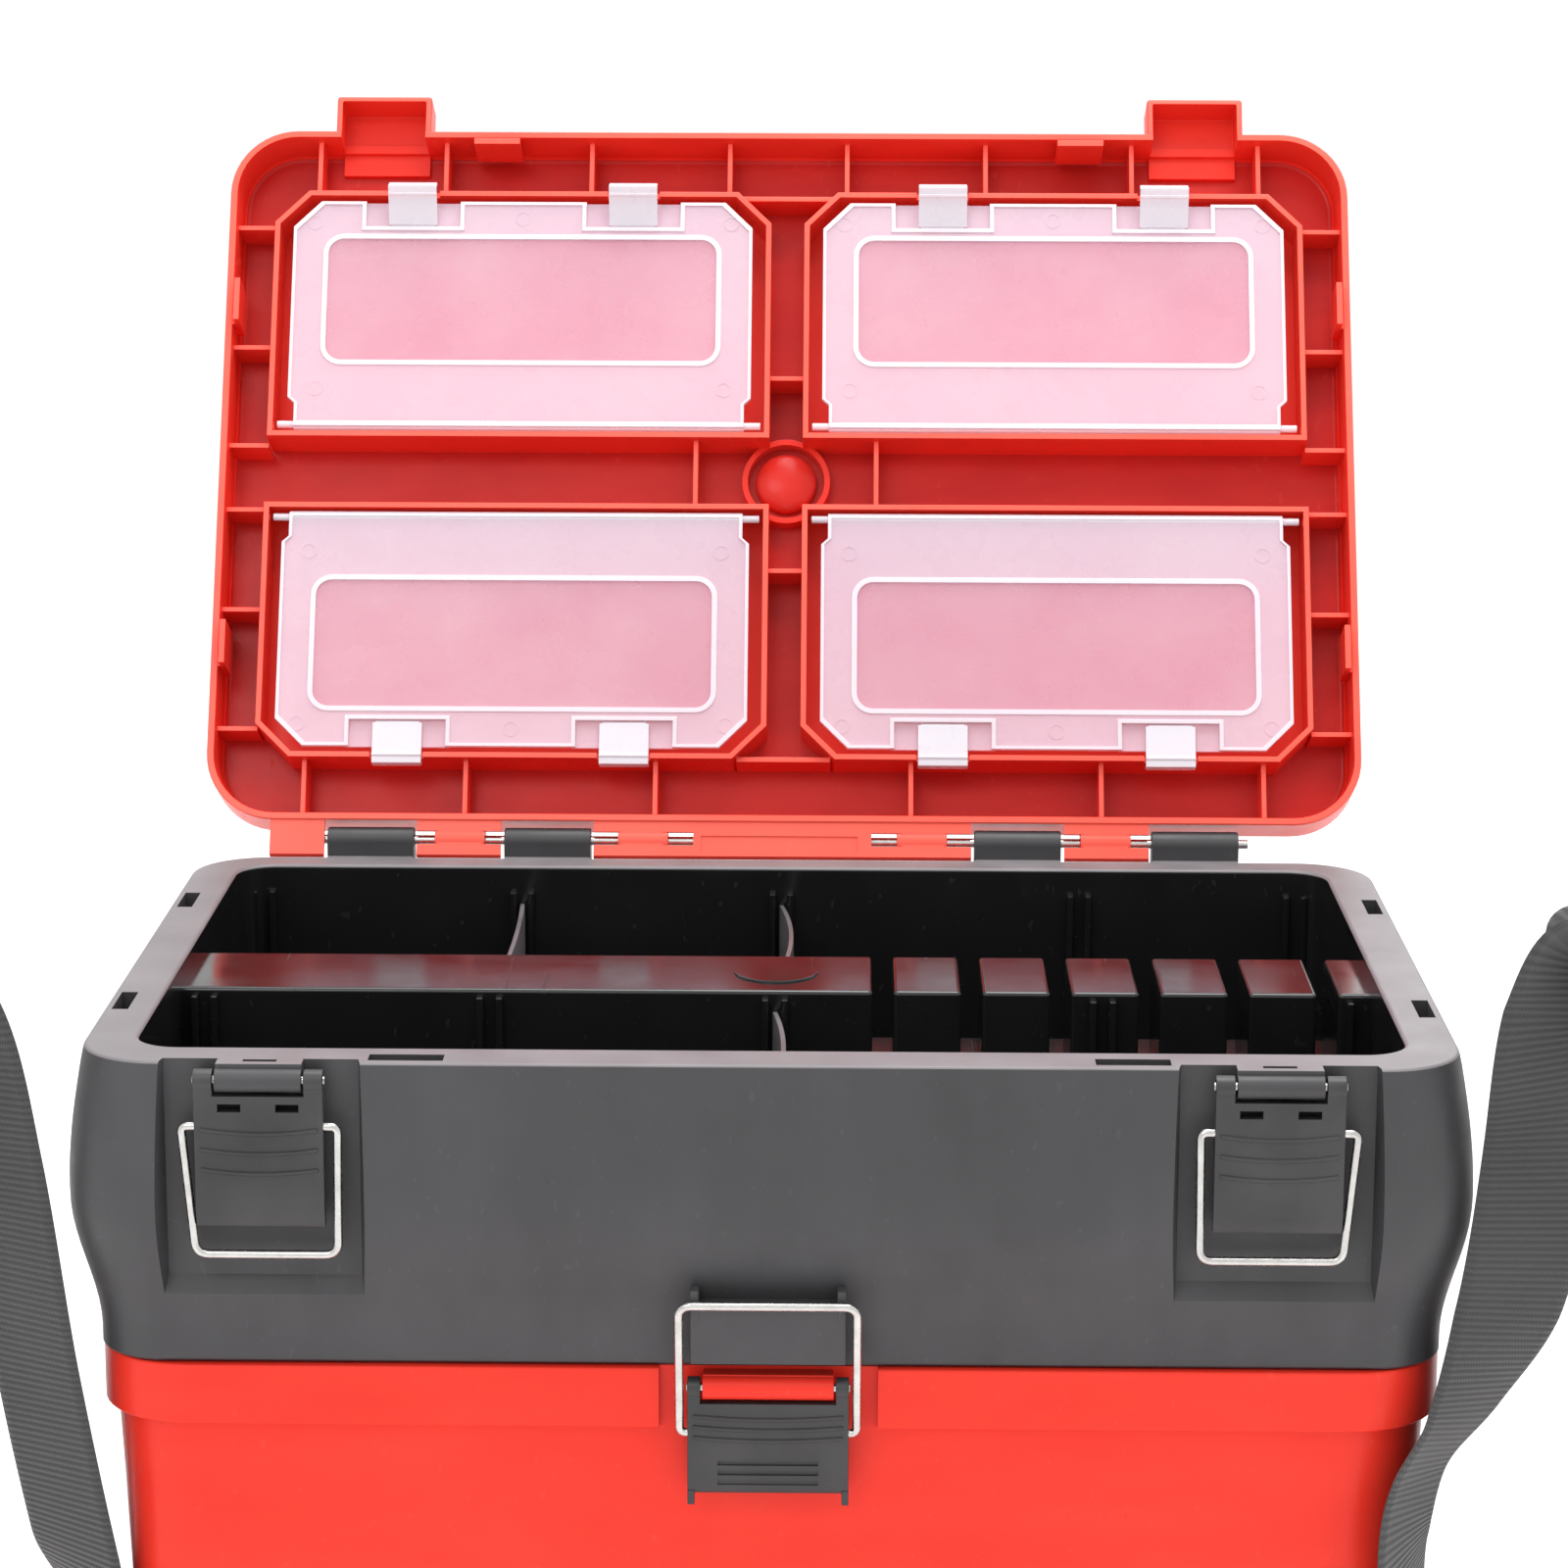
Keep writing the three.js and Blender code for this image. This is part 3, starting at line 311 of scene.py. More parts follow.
def scratches(nodes, scale, angle):
    """Fine hairline scuffs: a stretched noise of which only the crests are kept."""
    turn = nodes.add("ShaderNodeMapping")
    turn.inputs["Rotation"].default_value = (angle, angle * 0.7, angle * 1.3)
    turn.inputs["Scale"].default_value = (scale, scale * 0.04, scale * 0.6)
    nodes.link(nodes.place, turn.inputs["Vector"])
    lines = nodes.noise(1.0, 2.0, 0.4, turn.outputs["Vector"])
    return nodes.ramp(lines, 0.0, 1.0, (0.69, 0.74))


def floor_material():
    nodes = Nodes("studio_floor")
    speck = nodes.noise(3, 2)
    nodes.colour(nodes.mix(speck, (0.95, 0.95, 0.95), (0.98, 0.98, 0.98)))
    nodes.set(Roughness=0.85)
    return nodes.material


def red_plastic(name="red_moulding", lit=(0.8, 0.036, 0.02), deep=(0.74, 0.028, 0.016)):
    nodes = Nodes(name)
    cloud = nodes.noise(14, 4)
    flow = nodes.noise(1.0, 3, 0.6, nodes.stretched((18, 18, 70)))
    scuff = scratches(nodes, 420, 0.5)
    base = nodes.mix(nodes.ramp(cloud, 0, 1), deep, lit)
    worn = nodes.mix(nodes.math("MULTIPLY", scuff, 0.05), base, (0.95, 0.3, 0.24))
    nodes.colour(nodes.mix(nodes.ramp(flow, 0, 0.16), worn, (0.9, 0.075, 0.045)))
    smooth = nodes.ramp(nodes.noise(34, 5), 0.27, 0.4)
    nodes.roughness(nodes.math("ADD", smooth, nodes.math("MULTIPLY", scuff, 0.15)))
    nodes.bump(nodes.noise(5, 2), 0.5, 0.35)
    nodes.bump(nodes.noise(1700, 2), 0.012, 0.6)
    nodes.set(IOR=1.49, Specular_IOR_Level=0.2)
    return nodes.material


def black_plastic():
    """The tray's outside: grained, greyer where the mould flow and handling show."""
    nodes = Nodes("black_grained")
    streak = nodes.noise(1.0, 4, 0.6, nodes.stretched((26, 26, 5)))
    smear = nodes.noise(9, 5, 0.65)
    scuff = scratches(nodes, 500, 1.1)
    tone = nodes.math("ADD", nodes.ramp(streak, 0, 0.5), nodes.ramp(smear, 0, 0.5))
    base = nodes.mix(tone, (0.03, 0.0293, 0.0313), (0.055, 0.0535, 0.0575))
    nodes.colour(nodes.mix(nodes.math("MULTIPLY", scuff, 0.07), base, (0.2, 0.195, 0.2)))
    nodes.roughness(nodes.ramp(nodes.noise(60, 4), 0.44, 0.6))
    nodes.bump(nodes.noise(1500, 3, 0.7), 0.035, 0.8)
    nodes.set(IOR=1.5)
    return nodes.material


def gloss_black():
    """The tray's inside and its ridge, from a polished half of the mould."""
    nodes = Nodes("black_polished")
    nodes.colour(nodes.mix(nodes.noise(22, 4), (0.0065, 0.0065, 0.007), (0.012, 0.0118, 0.0125)))
    scuff = scratches(nodes, 360, 0.2)
    smooth = nodes.ramp(nodes.noise(40, 5), 0.11, 0.24)
    nodes.roughness(nodes.math("ADD", smooth, nodes.math("MULTIPLY", scuff, 0.2)))
    nodes.bump(nodes.noise(38, 2), 0.12, 0.5)
    nodes.bump(nodes.noise(900, 2), 0.006, 0.5)
    nodes.set(IOR=1.52)
    return nodes.material


def fitting_plastic(name, dark, light, rough=(0.36, 0.5)):
    """Small black or grey mouldings: levers, anchors and dividers."""
    nodes = Nodes(name)
    nodes.colour(nodes.mix(nodes.ramp(nodes.noise(45, 4), 0, 1), dark, light))
    nodes.roughness(nodes.ramp(nodes.noise(90, 4), *rough))
    nodes.bump(nodes.noise(1300, 3, 0.7), 0.03, 0.7)
    nodes.bump(nodes.noise(60, 2), 0.1, 0.3)
    return nodes.material


def frosted_plastic(name, tint, alpha):
    """Milky polypropylene that lets the red behind it through."""
    nodes = Nodes(name)
    cloud = nodes.noise(26, 4)
    nodes.colour(nodes.mix(nodes.ramp(cloud, 0, 0.2), tint, (0.95, 0.9, 0.95)))
    nodes.roughness(nodes.ramp(nodes.noise(70, 4), 0.22, 0.36))
    nodes.bump(nodes.noise(16, 2), 0.5, 0.4)
    nodes.bump(nodes.noise(1800, 2), 0.012, 0.5)
    nodes.set(IOR=1.49, Alpha=alpha)
    return nodes.material


def steel():
    """Bright drawn wire with dull spots."""
    nodes = Nodes("drawn_steel")
    spots = nodes.noise(220, 4)
    nodes.colour(nodes.mix(nodes.ramp(spots, 0, 1), (0.5, 0.49, 0.47), (0.62, 0.61, 0.59)))
    nodes.roughness(nodes.ramp(nodes.noise(480, 3), 0.16, 0.34))
    nodes.bump(nodes.noise(1400, 2), 0.004, 0.5)
    nodes.set(Metallic=1.0)
    return nodes.material


def webbing():
    """Woven polypropylene: cross ribs along the strap, warp lines across it, and a little fuzz; the
    raised ribs are coloured lighter and the grooves darker as painted shade.
    """
    nodes = Nodes("webbing")
    cloth = nodes.add("ShaderNodeAttribute", attribute_name="cloth")
    split = nodes.add("ShaderNodeSeparateXYZ")
    nodes.link(cloth.outputs["Vector"], split.inputs["Vector"])
    along, over = split.outputs["X"], split.outputs["Y"]
    rib = nodes.math("SINE", nodes.math("MULTIPLY", along, 2 * math.pi / 1.9), 0)
    warp = nodes.math("SINE", nodes.math("MULTIPLY", over, 2 * math.pi / 1.25), 0)
    cross = nodes.math("MULTIPLY", rib, nodes.ramp(warp, 0.55, 1.0, (-1, 1)))
    fuzz = nodes.noise(900, 4, 0.7)
    # painted shade: the weave's raised ribs get a lighter black and its grooves a darker one, plus
    # random fuzz and wear
    shade = nodes.math("ADD", nodes.ramp(cross, 0, 0.55, (-1, 1)), nodes.math("MULTIPLY", fuzz, 0.5))
    shade_fuzz_and_wear = nodes.math("ADD", shade, nodes.ramp(nodes.noise(18, 4), -0.12, 0.2))
    nodes.colour(nodes.mix(shade_fuzz_and_wear, (0.016, 0.016, 0.017), (0.06, 0.06, 0.063)))
    nodes.roughness(nodes.ramp(fuzz, 0.72, 0.92))
    nodes.bump(cross, 0.22, 0.9)
    nodes.bump(fuzz, 0.08, 0.5)
    nodes.set(Sheen_Weight=0.25, Sheen_Roughness=0.4)
    return nodes.material


# ---- solids, in millimetres ----
def as_object(bm, name="solid"):
    bmesh.ops.recalc_face_normals(bm, faces=bm.faces)
    mesh = bpy.data.meshes.new(name)
    bm.to_mesh(mesh)
    bm.free()
    return bpy.data.objects.new(name, mesh)


def rounded(bm, edges, radius, steps=3):
    bmesh.ops.bevel(
        bm, geom=edges, offset=radius, segments=steps, profile=0.5,
        affect="EDGES", clamp_overlap=True,
    )


def block(x0, x1, y0, y1, z0, z1, radius=0.35, steps=2):
    bm = bmesh.new()
    bmesh.ops.create_cube(bm, size=1)
    for v in bm.verts:
        v.co = (
            x1 if v.co.x > 0 else x0,
            y1 if v.co.y > 0 else y0,
            z1 if v.co.z > 0 else z0,
        )
    if radius:
        rounded(bm, bm.edges[:], radius, steps)
    return as_object(bm)


def side_block(side, near, far, y0, y1, z0, z1, radius=0.35):
    x0, x1 = sorted((side * near, side * far))
    return block(x0, x1, y0, y1, z0, z1, radius)


def slab(points, low, high, radius=0.35, steps=2):
    """An upright slab over an outline, with its top and bottom edges rounded."""
    bm = bmesh.new()
    base = bm.faces.new([bm.verts.new((x, y, low)) for x, y in points])
    grown = bmesh.ops.extrude_face_region(bm, geom=[base])
    tops = [g for g in grown["geom"] if isinstance(g, bmesh.types.BMVert)]
    bmesh.ops.translate(bm, vec=(0, 0, high - low), verts=tops)
    bmesh.ops.recalc_face_normals(bm, faces=bm.faces)
    if radius:
        flat = [e for e in bm.edges if abs(e.verts[0].co.z - e.verts[1].co.z) < 1e-6]
        rounded(bm, flat, radius, steps)
    return as_object(bm)


def profile(points, x0, x1, radius=0.35, steps=2):
    """A side profile of [y, z] points carried along X, its end edges rounded."""
    made = slab([(y, z) for y, z in points], x0, x1, radius, steps)
    made.data.transform(Matrix(((0, 0, 1, 0), (1, 0, 0, 0), (0, 1, 0, 0), (0, 0, 0, 1))))
    return made


def bar(x0, x1, y, z, radius, sides=36, edge=0.25):
    turn = [2 * math.pi * i / sides for i in range(sides)]
    outline = [(y + radius * math.cos(a), z + radius * math.sin(a)) for a in turn]
    return profile(outline, x0, x1, edge, 2)


def disc(x, y, z0, z1, radius, sides=64, edge=0.3):
    turn = [2 * math.pi * i / sides for i in range(sides)]
    return slab([(x + radius * math.cos(a), y + radius * math.sin(a)) for a in turn], z0, z1, edge)


def rounded_rect(half_w, front, back, radius, steps=ARC):
    points = []
    for k, (cx, cy) in enumerate((
        (half_w - radius, back - radius), (radius - half_w, back - radius),
        (radius - half_w, front + radius), (half_w - radius, front + radius),
    )):
        for i in range(steps + 1):
            a = math.pi / 2 * (k + i / steps)
            points.append((cx + radius * math.cos(a), cy + radius * math.sin(a)))
    return points


def stack(half_w, front, back, radius, rings, steps=ARC):
    """A solid from rings of (outward offset, z), each a rounded rectangle grown by its offset."""
    bm = bmesh.new()
    rows = []
    for out, z in rings:
        shape = rounded_rect(half_w + out, front - out, back + out, max(radius + out, 0.5), steps)
        rows.append([bm.verts.new((x, y, z)) for x, y in shape])
    for low, high in zip(rows, rows[1:]):
        for i in range(len(low)):
            j = (i + 1) % len(low)
            bm.faces.new((low[i], low[j], high[j], high[i]))
    bm.faces.new(rows[0][::-1])
    bm.faces.new(rows[-1])
    return as_object(bm)


def arc(out, z, radius, start, stop, steps=5):
    """Ring places along an arc about (out, z), with angles in degrees from outward."""
    made = []
    for i in range(steps + 1):
        a = math.radians(start + (stop - start) * i / steps)
        made.append((out + radius * math.cos(a), z + radius * math.sin(a)))
    return made


def combine(base, parts, operation):
    group = bpy.data.collections.new("operands")
    for part in parts:
        group.objects.link(part)
    scene = bpy.context.scene.collection
    scene.objects.link(base)
    change = base.modifiers.new("change", "BOOLEAN")
    change.operand_type = "COLLECTION"
    change.collection = group
    change.operation = operation
    change.solver = "MANIFOLD"
    graph = bpy.context.evaluated_depsgraph_get()
    mesh = bpy.data.meshes.new_from_object(base.evaluated_get(graph))
    mesh.materials.clear()
    for used in (base, *parts):
        bpy.data.objects.remove(used)
    bpy.data.collections.remove(group)
    return bpy.data.objects.new("solid", mesh)


def join(parts):
    return combine(parts[0], list(parts[1:]), "UNION") if len(parts) > 1 else parts[0]


def cut(base, parts):
    return combine(base, list(parts), "DIFFERENCE")


def tube(points, radius, sides=20):
    """A round wire along a path, with round ends."""
    curve = bpy.data.curves.new("wire", "CURVE")
    curve.dimensions = "3D"
    curve.bevel_depth = radius
    curve.bevel_resolution = sides // 4
    curve.use_fill_caps = True
    spline = curve.splines.new("POLY")
    spline.points.add(len(points) - 1)
    for point, place in zip(spline.points, points):
        point.co = (*place, 1)
    holder = bpy.data.objects.new("wire", curve)
    bpy.context.scene.collection.objects.link(holder)
    graph = bpy.context.evaluated_depsgraph_get()
    mesh = bpy.data.meshes.new_from_object(holder.evaluated_get(graph))
    bpy.data.objects.remove(holder)
    bm = bmesh.new()
    bm.from_mesh(mesh)
    bmesh.ops.remove_doubles(bm, verts=bm.verts, dist=1e-4)
    return as_object(bm)


def sides(make):
    """What make gives for the left and for the right side, in one list."""
    return [solid for side in (-1, 1) for solid in make(side)]


# ---- placing pieces ----
def place(solid, name, body, node, slot, materials, matrix=None, crease=32):
    """Turns a solid into the named piece that stands for a CAD node."""
    mesh = solid.data
    mesh.transform(Matrix.Scale(MM, 4) @ (matrix or Matrix.Identity(4)))
    mesh.name = name
    solid.name = name
    bpy.context.scene.collection.objects.link(solid)
    for material in materials:
        mesh.materials.append(material)
    for face in mesh.polygons:
        face.use_smooth = True
    mesh.set_sharp_from_angle(angle=math.radians(crease))
    shading = solid.modifiers.new("shading", "WEIGHTED_NORMAL")
    shading.keep_sharp = True
    shading.weight = 100
    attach(solid, body)
    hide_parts(node)
    return solid


def paint(solid, test, index):
    """Gives a material slot to every face whose middle and normal pass a test, in millimetres."""
    for face in solid.data.polygons:
        if test(face.center, face.normal):
            face.material_index = index


def move(x, y, z):
    return Matrix.Translation((x, y, z))


def turn_x(angle):
    return Matrix.Rotation(angle, 4, "X")


def about(y, z, angle):
    """A turn about a line along X through (y, z)."""
    return move(0, y, z) @ turn_x(angle) @ move(0, -y, -z)


LID_PLACE = about(LID_AXIS_Y, LID_AXIS_Z, -LID_OPEN)


# ---- bucket ----
def bucket_lean(z):
    return BUCKET_TAPER * (z / BUCKET_TOP - 1)


def bucket():
    wall_x, wall_y = HALF_W - 5, HALF_D - 4
    band = BUCKET_TOP - BAND_HEIGHT
    rings = arc(bucket_lean(0) - 4, 4, 4, -90, 0)
    rings += [(bucket_lean(z), z) for z in range(24, 180, 20)]
    rings += [(bucket_lean(band) + 0.1, band - 1.4), (bucket_lean(band) + 0.5, band - 0.3), (2.2, band)]
    rings += arc(2.2, band + 0.8, 0.8, -90, 0, 3) + arc(2.2, BUCKET_TOP - 0.8, 0.8, 0, 90, 3)
    outer = stack(wall_x, -wall_y, wall_y, CORNER + 2, rings)
    inner = arc(bucket_lean(WALL) - WALL - 7, WALL + 7, 7, -90, 0)
    inner += [(bucket_lean(z) - WALL, z) for z in (40, 80, 120, 160, 200)]
    inner += [(-WALL, BUCKET_TOP - 0.8), (-WALL + 0.8, BUCKET_TOP), (-WALL + 0.8, BUCKET_TOP + 3)]
    hollow = stack(wall_x, -wall_y, wall_y, CORNER + 2, inner)
    notch = block(-29.5, 29.5, -HALF_D - 5, -wall_y - 0.1, band - 4, BUCKET_TOP + 1, 0)
    pad = block(-20, 20, -15, 15, -2, 2, 0)
    foot_hollow = cut(stack(120, -60, 60, 18, [(0, -1), (0, 0.8), (-0.4, 1.2)]), [pad])
    shell = cut(outer, [hollow, notch, foot_hollow])
    lugs = sides(lambda side: [bucket_lug(side * TRAY_HINGE_X + k) for k in (-12, 12)])
    whole = join([shell, *lugs, bucket_tongue()])
    place(whole, "bucket_shell", "bucket", "bucket", "red_plastic", [RED])


def bucket_lug(middle):
    y, z = TRAY_AXIS_Y, TRAY_AXIS_Z
    lug = join([
        bar(middle - 3, middle + 3, y, z, TRAY_LUG_RADIUS),
        block(middle - 3, middle + 3, HALF_D - 3, y, z - 5, z + 4.7),
    ])
    return cut(lug, [bar(middle - 9, middle + 9, y, z, ROD_RADIUS + GAP, 24, 0)])


def bucket_tongue():
    y, z, half = CENTRE_LATCH_Y, CENTRE_LATCH_Z, CENTRE_LEVER["tongue"]
    tongue = join([
        block(-half, half, y, -HALF_D + 5.5, z - 3.2, z + 3.6),
        bar(-half, half, y, z, 3.2),
    ])
    return cut(tongue, [bar(-half - 1, half + 1, y, z, PIN_RADIUS + GAP, 24, 0)])


# ---- tray ----
def tray_bulge(z):
    """How far the tray's outside stands proud of its rim at a height."""
    drop = RIM - z
    if drop < BULGE_DROP:
        return BULGE * math.sin(math.pi / 2 * drop / BULGE_DROP)
    low = min((drop - BULGE_DROP) / (FOOT_DROP - BULGE_DROP), 1)
    return (BULGE - FOOT_INSET) / 2 + (BULGE + FOOT_INSET) / 2 * math.cos(math.pi * low)


def tray_shell():
    foot = -FOOT_INSET
    rings = [(foot - 0.7, TRAY_BOTTOM), (foot, TRAY_BOTTOM + 0.7)]
    rings += [(tray_bulge(RIM - drop), RIM - drop) for drop in range(80, 1, -4)]
    rings += arc(-1.1, RIM - 1.2, 1.2, 8, 90, 4)
    return stack(HALF_W, -HALF_D, HALF_D, CORNER, rings)


def tray_storage():
    middle = (INNER_FRONT + INNER_BACK) / 2
    floor = TRAY_BOTTOM + 2.7
    rings = arc(-3, floor + 3, 3, -90, 0, 4)
    rings += [(0, RIM - 1.2), *arc(1.2, RIM - 1.2, 1.2, 180, 90, 4), (1.2, RIM + 2)]
    room = stack(INNER_HALF_W, INNER_FRONT - middle, INNER_BACK - middle, 12, rings)
    room.data.transform(move(0, middle, 0))
    return room


def wall_hollow():
    """The hollow between the tray's outer and inner walls, open below."""
    jacket = stack(HALF_W - 3.5, RECESS_FLOOR + 2.5, HALF_D - 3, CORNER - 4, [
        (0, TRAY_BOTTOM - 2), (0, RIM - 8.5),
    ])
    core = stack(INNER_HALF_W + 2.5, INNER_FRONT - 2.5, INNER_BACK + 2.5, 14.5, [
        (0, TRAY_BOTTOM - 3), (0, RIM - 8),
    ])
    return cut(jacket, [core])


def latch_recess(side):
    """A pocket behind a side latch, with leaning side walls and a ramp at its foot."""
    floor, flare = RECESS_FLOOR, 0.22
    points = [
        (floor, RIM + 2), (floor, RIM - 60), (floor - 11, RIM - 74),
        (floor - 25, RIM - 74), (floor - 25, RIM + 2),
    ]
    pocket = profile(points, -26, 26, 0)
    for v in pocket.data.vertices:
        v.co.x += math.copysign(flare * (floor - v.co.y), v.co.x)
    pocket.data.transform(move(side * SIDE_LATCH_X, 0, 0))
    return pocket


def tray_tongue(side):
    x, y, z, half = side * SIDE_LATCH_X, SIDE_LATCH_Y, SIDE_LATCH_Z, SIDE_LEVER["tongue"]
    tongue = join([
        block(x - half, x + half, y, RECESS_FLOOR + 2, z - 3.2, RIM),
        bar(x - half, x + half, y, z, 3.2),
    ])
    return cut(tongue, [
        bar(x - half - 1, x + half + 1, y, z, PIN_RADIUS + GAP, 24, 0),
        block(x - 4.5, x + 4.5, y + 2.2, y + 4.2, z + 2.4, RIM + 1, 0),
    ])


def tray_catch():
    front, foot = -HALF_D - 6.6, TRAY_BOTTOM
    boss = profile([
        (-HALF_D + 3, foot + 1), (front + 1.6, foot + 3), (front, foot + 19.7),
        (-HALF_D + 3, foot + 19.7),
    ], -20.8, 20.8)
    cheeks = sides(lambda side: [
        side_block(side, 18.4, 20.8, front, -HALF_D + 1, foot + 15, foot + 24, 0.5),
    ])
    return [boss, *cheeks]


def lid_knuckle(side, middle):
    x0, x1 = side * middle - 13.8, side * middle + 13.8
    knuckle = join([
        bar(x0, x1, LID_AXIS_Y, LID_AXIS_Z, 4, 36, 0.5),
        block(x0, x1, HALF_D - 2, LID_AXIS_Y + 4, RIM - 7, RIM, 0.5),
        block(x0, x1, LID_AXIS_Y - 4, LID_AXIS_Y + 4, RIM - 2, LID_AXIS_Z, 0.3),
    ])
    return cut(knuckle, [bar(x0 - 1, x1 + 1, LID_AXIS_Y, LID_AXIS_Z, ROD_RADIUS + GAP, 24, 0)])


def tray_lug(side):
    x, y, z = side * TRAY_HINGE_X, TRAY_AXIS_Y, TRAY_AXIS_Z
    lug = join([
        bar(x - 8.6, x + 8.6, y, z, TRAY_LUG_RADIUS),
        block(x - 8.6, x + 8.6, y - 5, y + 5, z, TRAY_BOTTOM + 12),
        block(x - 8.6, x + 8.6, HALF_D - 6, y, TRAY_BOTTOM, TRAY_BOTTOM + 12),
    ])
    return cut(lug, [bar(x - 10, x + 10, y, z, ROD_RADIUS + GAP, 24, 0)])


def slot_cutters():
    half = SLOT_WIDTH / 2
    return [
        block(x - half, x + half, -RIDGE_HALF - 5, RIDGE_HALF + 5, SLOT_FLOOR, RIM, 0)
        for x in SLOT_CENTRES
    ]


def ridge():
    """The long raised block along the tray, and the row of blocks that its slots leave."""
    z0, edge = TRAY_BOTTOM + 1, 1.3
    half = SLOT_WIDTH / 2
    starts = [-INNER_HALF_W - 2, *(x + half for x in SLOT_CENTRES)]
    ends = [*(x - half for x in SLOT_CENTRES), INNER_HALF_W + 2]
    blocks = [
        block(a, b, -RIDGE_HALF, RIDGE_HALF, z0, RIDGE_TOP, edge, 4) for a, b in zip(starts, ends)
    ]
    low = block(-INNER_HALF_W - 1, INNER_HALF_W + 1, -RIDGE_HALF, RIDGE_HALF, z0, SLOT_FLOOR, 0)
    badge = disc(0, 1, RIDGE_TOP - 1, RIDGE_TOP + 0.6, 12.4, edge=0.4)
    return [*blocks, low, badge]


def ridge_hollow():
    """The rooms under the ridge: one low channel and one inside each raised block."""
    half, skin = RIDGE_HALF - 2, 1.6
    low = block(4 - INNER_HALF_W, INNER_HALF_W - 4, -half, half, TRAY_BOTTOM - 2, SLOT_FLOOR - 2.5, 0)
    gaps = SLOT_WIDTH / 2 + skin
    starts = [4 - INNER_HALF_W, *(x + gaps for x in SLOT_CENTRES[:-1])]
    rooms = [
        block(a, x - gaps, -half, half, SLOT_FLOOR - 4, RIDGE_TOP - 2.2, 0)
        for a, x in zip(starts, SLOT_CENTRES)
    ]
    return [low, *rooms]


def divider_ribs():
    rows = [
        (INNER_BACK - 3, INNER_BACK + 1), (RIDGE_HALF - 1, RIDGE_HALF + 3),
        (-RIDGE_HALF - 3, 1 - RIDGE_HALF), (INNER_FRONT - 1, INNER_FRONT + 3),
    ]
    return [
        block(x + a, x + a + 2, y0, y1, TRAY_BOTTOM + 1, RIM - 8, 0.5)
        for y0, y1 in rows for x in RIB_STATIONS for a in (-3.8, 1.8)
    ]


def rim_slots():
    ends = sides(lambda side: [
        side_block(side, 178.3, 182.9, y - 9, y + 9, RIM - 6, RIM + 1, 0) for y in (-57, 60)
    ])
    front = sides(lambda side: [
        side_block(side, 86.5, 106.5, -115.4, -109.6, RIM - 6, RIM + 1, 0),
    ])
    return ends + front


def is_inside_tray(centre, normal):
    in_plan = abs(centre.x) < INNER_HALF_W + 0.6 and INNER_FRONT - 0.6 < centre.y < INNER_BACK + 0.6
    return in_plan and TRAY_BOTTOM + 2 < centre.z < RIM - 0.5


# the rim's top faces, which get a lighter grey that is painted sheen
def is_rim_top(centre, normal):
    return normal.z > 0.5 and RIM - RIM_THICK < centre.z < RIM + 0.2


def tray():
    recesses = sides(lambda side: [latch_recess(side)])
    shell = cut(tray_shell(), [tray_storage(), *recesses])
    ribs = cut(join(divider_ribs()), slot_cutters())
    filled = join([shell, *ridge(), ribs])
    whole = cut(filled, [wall_hollow(), *ridge_hollow(), *rim_slots()])
    knuckles = sides(lambda side: [lid_knuckle(side, middle) for middle in TRAY_KNUCKLES])
    lugs = sides(lambda side: [tray_lug(side), tray_tongue(side)])
    whole = join([whole, *tray_catch(), *knuckles, *lugs])
    paint(whole, is_inside_tray, 1)
    # painted sheen: the rim's top faces get a lighter grey for the soft reflection along them
    paint(whole, is_rim_top, 2)
    place(whole, "tray_shell", "tray", "tray", "black_plastic", [BLACK, GLOSS, RIM_PAINTED_SHEEN])


def divider(name, x, y0, y1, bow):
    """A thin loose sheet that bows sideways between two rows of ribs."""
    chord, thick, steps = y1 - y0, 1.5, 24
    radius = (chord * chord / 4 + bow * bow) / (2 * bow)
    half = math.asin(chord / 2 / radius)
    angles = [half * (2 * i / steps - 1) for i in range(steps + 1)]
    centre_x, middle = x + bow - radius, (y0 + y1) / 2

    def along(r, turns):
        return [(centre_x + r * math.cos(a), middle + r * math.sin(a)) for a in turns]

    outline = along(radius + thick / 2, angles) + along(radius - thick / 2, angles[::-1])
    floor = TRAY_BOTTOM + 3
    sheet = slab(outline, floor, RIM - 12, 0.4)
    place(sheet, name + "_sheet", name, name, "grey_plastic", [DIVIDER])


def dividers():
    back = (RIDGE_HALF + 0.5, INNER_BACK - 0.5)
    front = (INNER_FRONT + 0.5, -RIDGE_HALF - 0.5)
    divider("divider_back_left", -82, *back, 1)
    divider("divider_back_middle", 0, *back, 3.6)
    divider("divider_front_middle", 0, *front, 3)


# ---- lid, drawn shut ----
def pocket_outline(inset, side_x, side_y):
    x0, x1 = POCKET_INNER_X + inset, POCKET_OUTER_X - inset
    near, far = POCKET_NEAR + inset, POCKET_FAR - inset
    chamfer = 10 - inset * 0.6
    points = [
        (x0, near), (x1, near), (x1, far - chamfer), (x1 - chamfer, far),
        (x0 + chamfer, far), (x0, far - chamfer),
    ]
    return [(side_x * x, side_y * y) for x, y in points]


def pocket_wall(side_x, side_y):
    edge = RIM + 1
    outer = slab(pocket_outline(-POCKET_WALL, side_x, side_y), edge, LID_INSIDE + 1, 0.35)
    inner = slab(pocket_outline(0, side_x, side_y), edge - 1, LID_INSIDE + 2, 0)
    return cut(outer, [inner])


def snap_notch(x, side_y):
    y0, y1 = sorted((side_y * (POCKET_FAR - 1), side_y * (POCKET_FAR + 4)))
    return block(x - 8.6, x + 8.6, y0, y1, RIM, RIM + 3.2, 0)


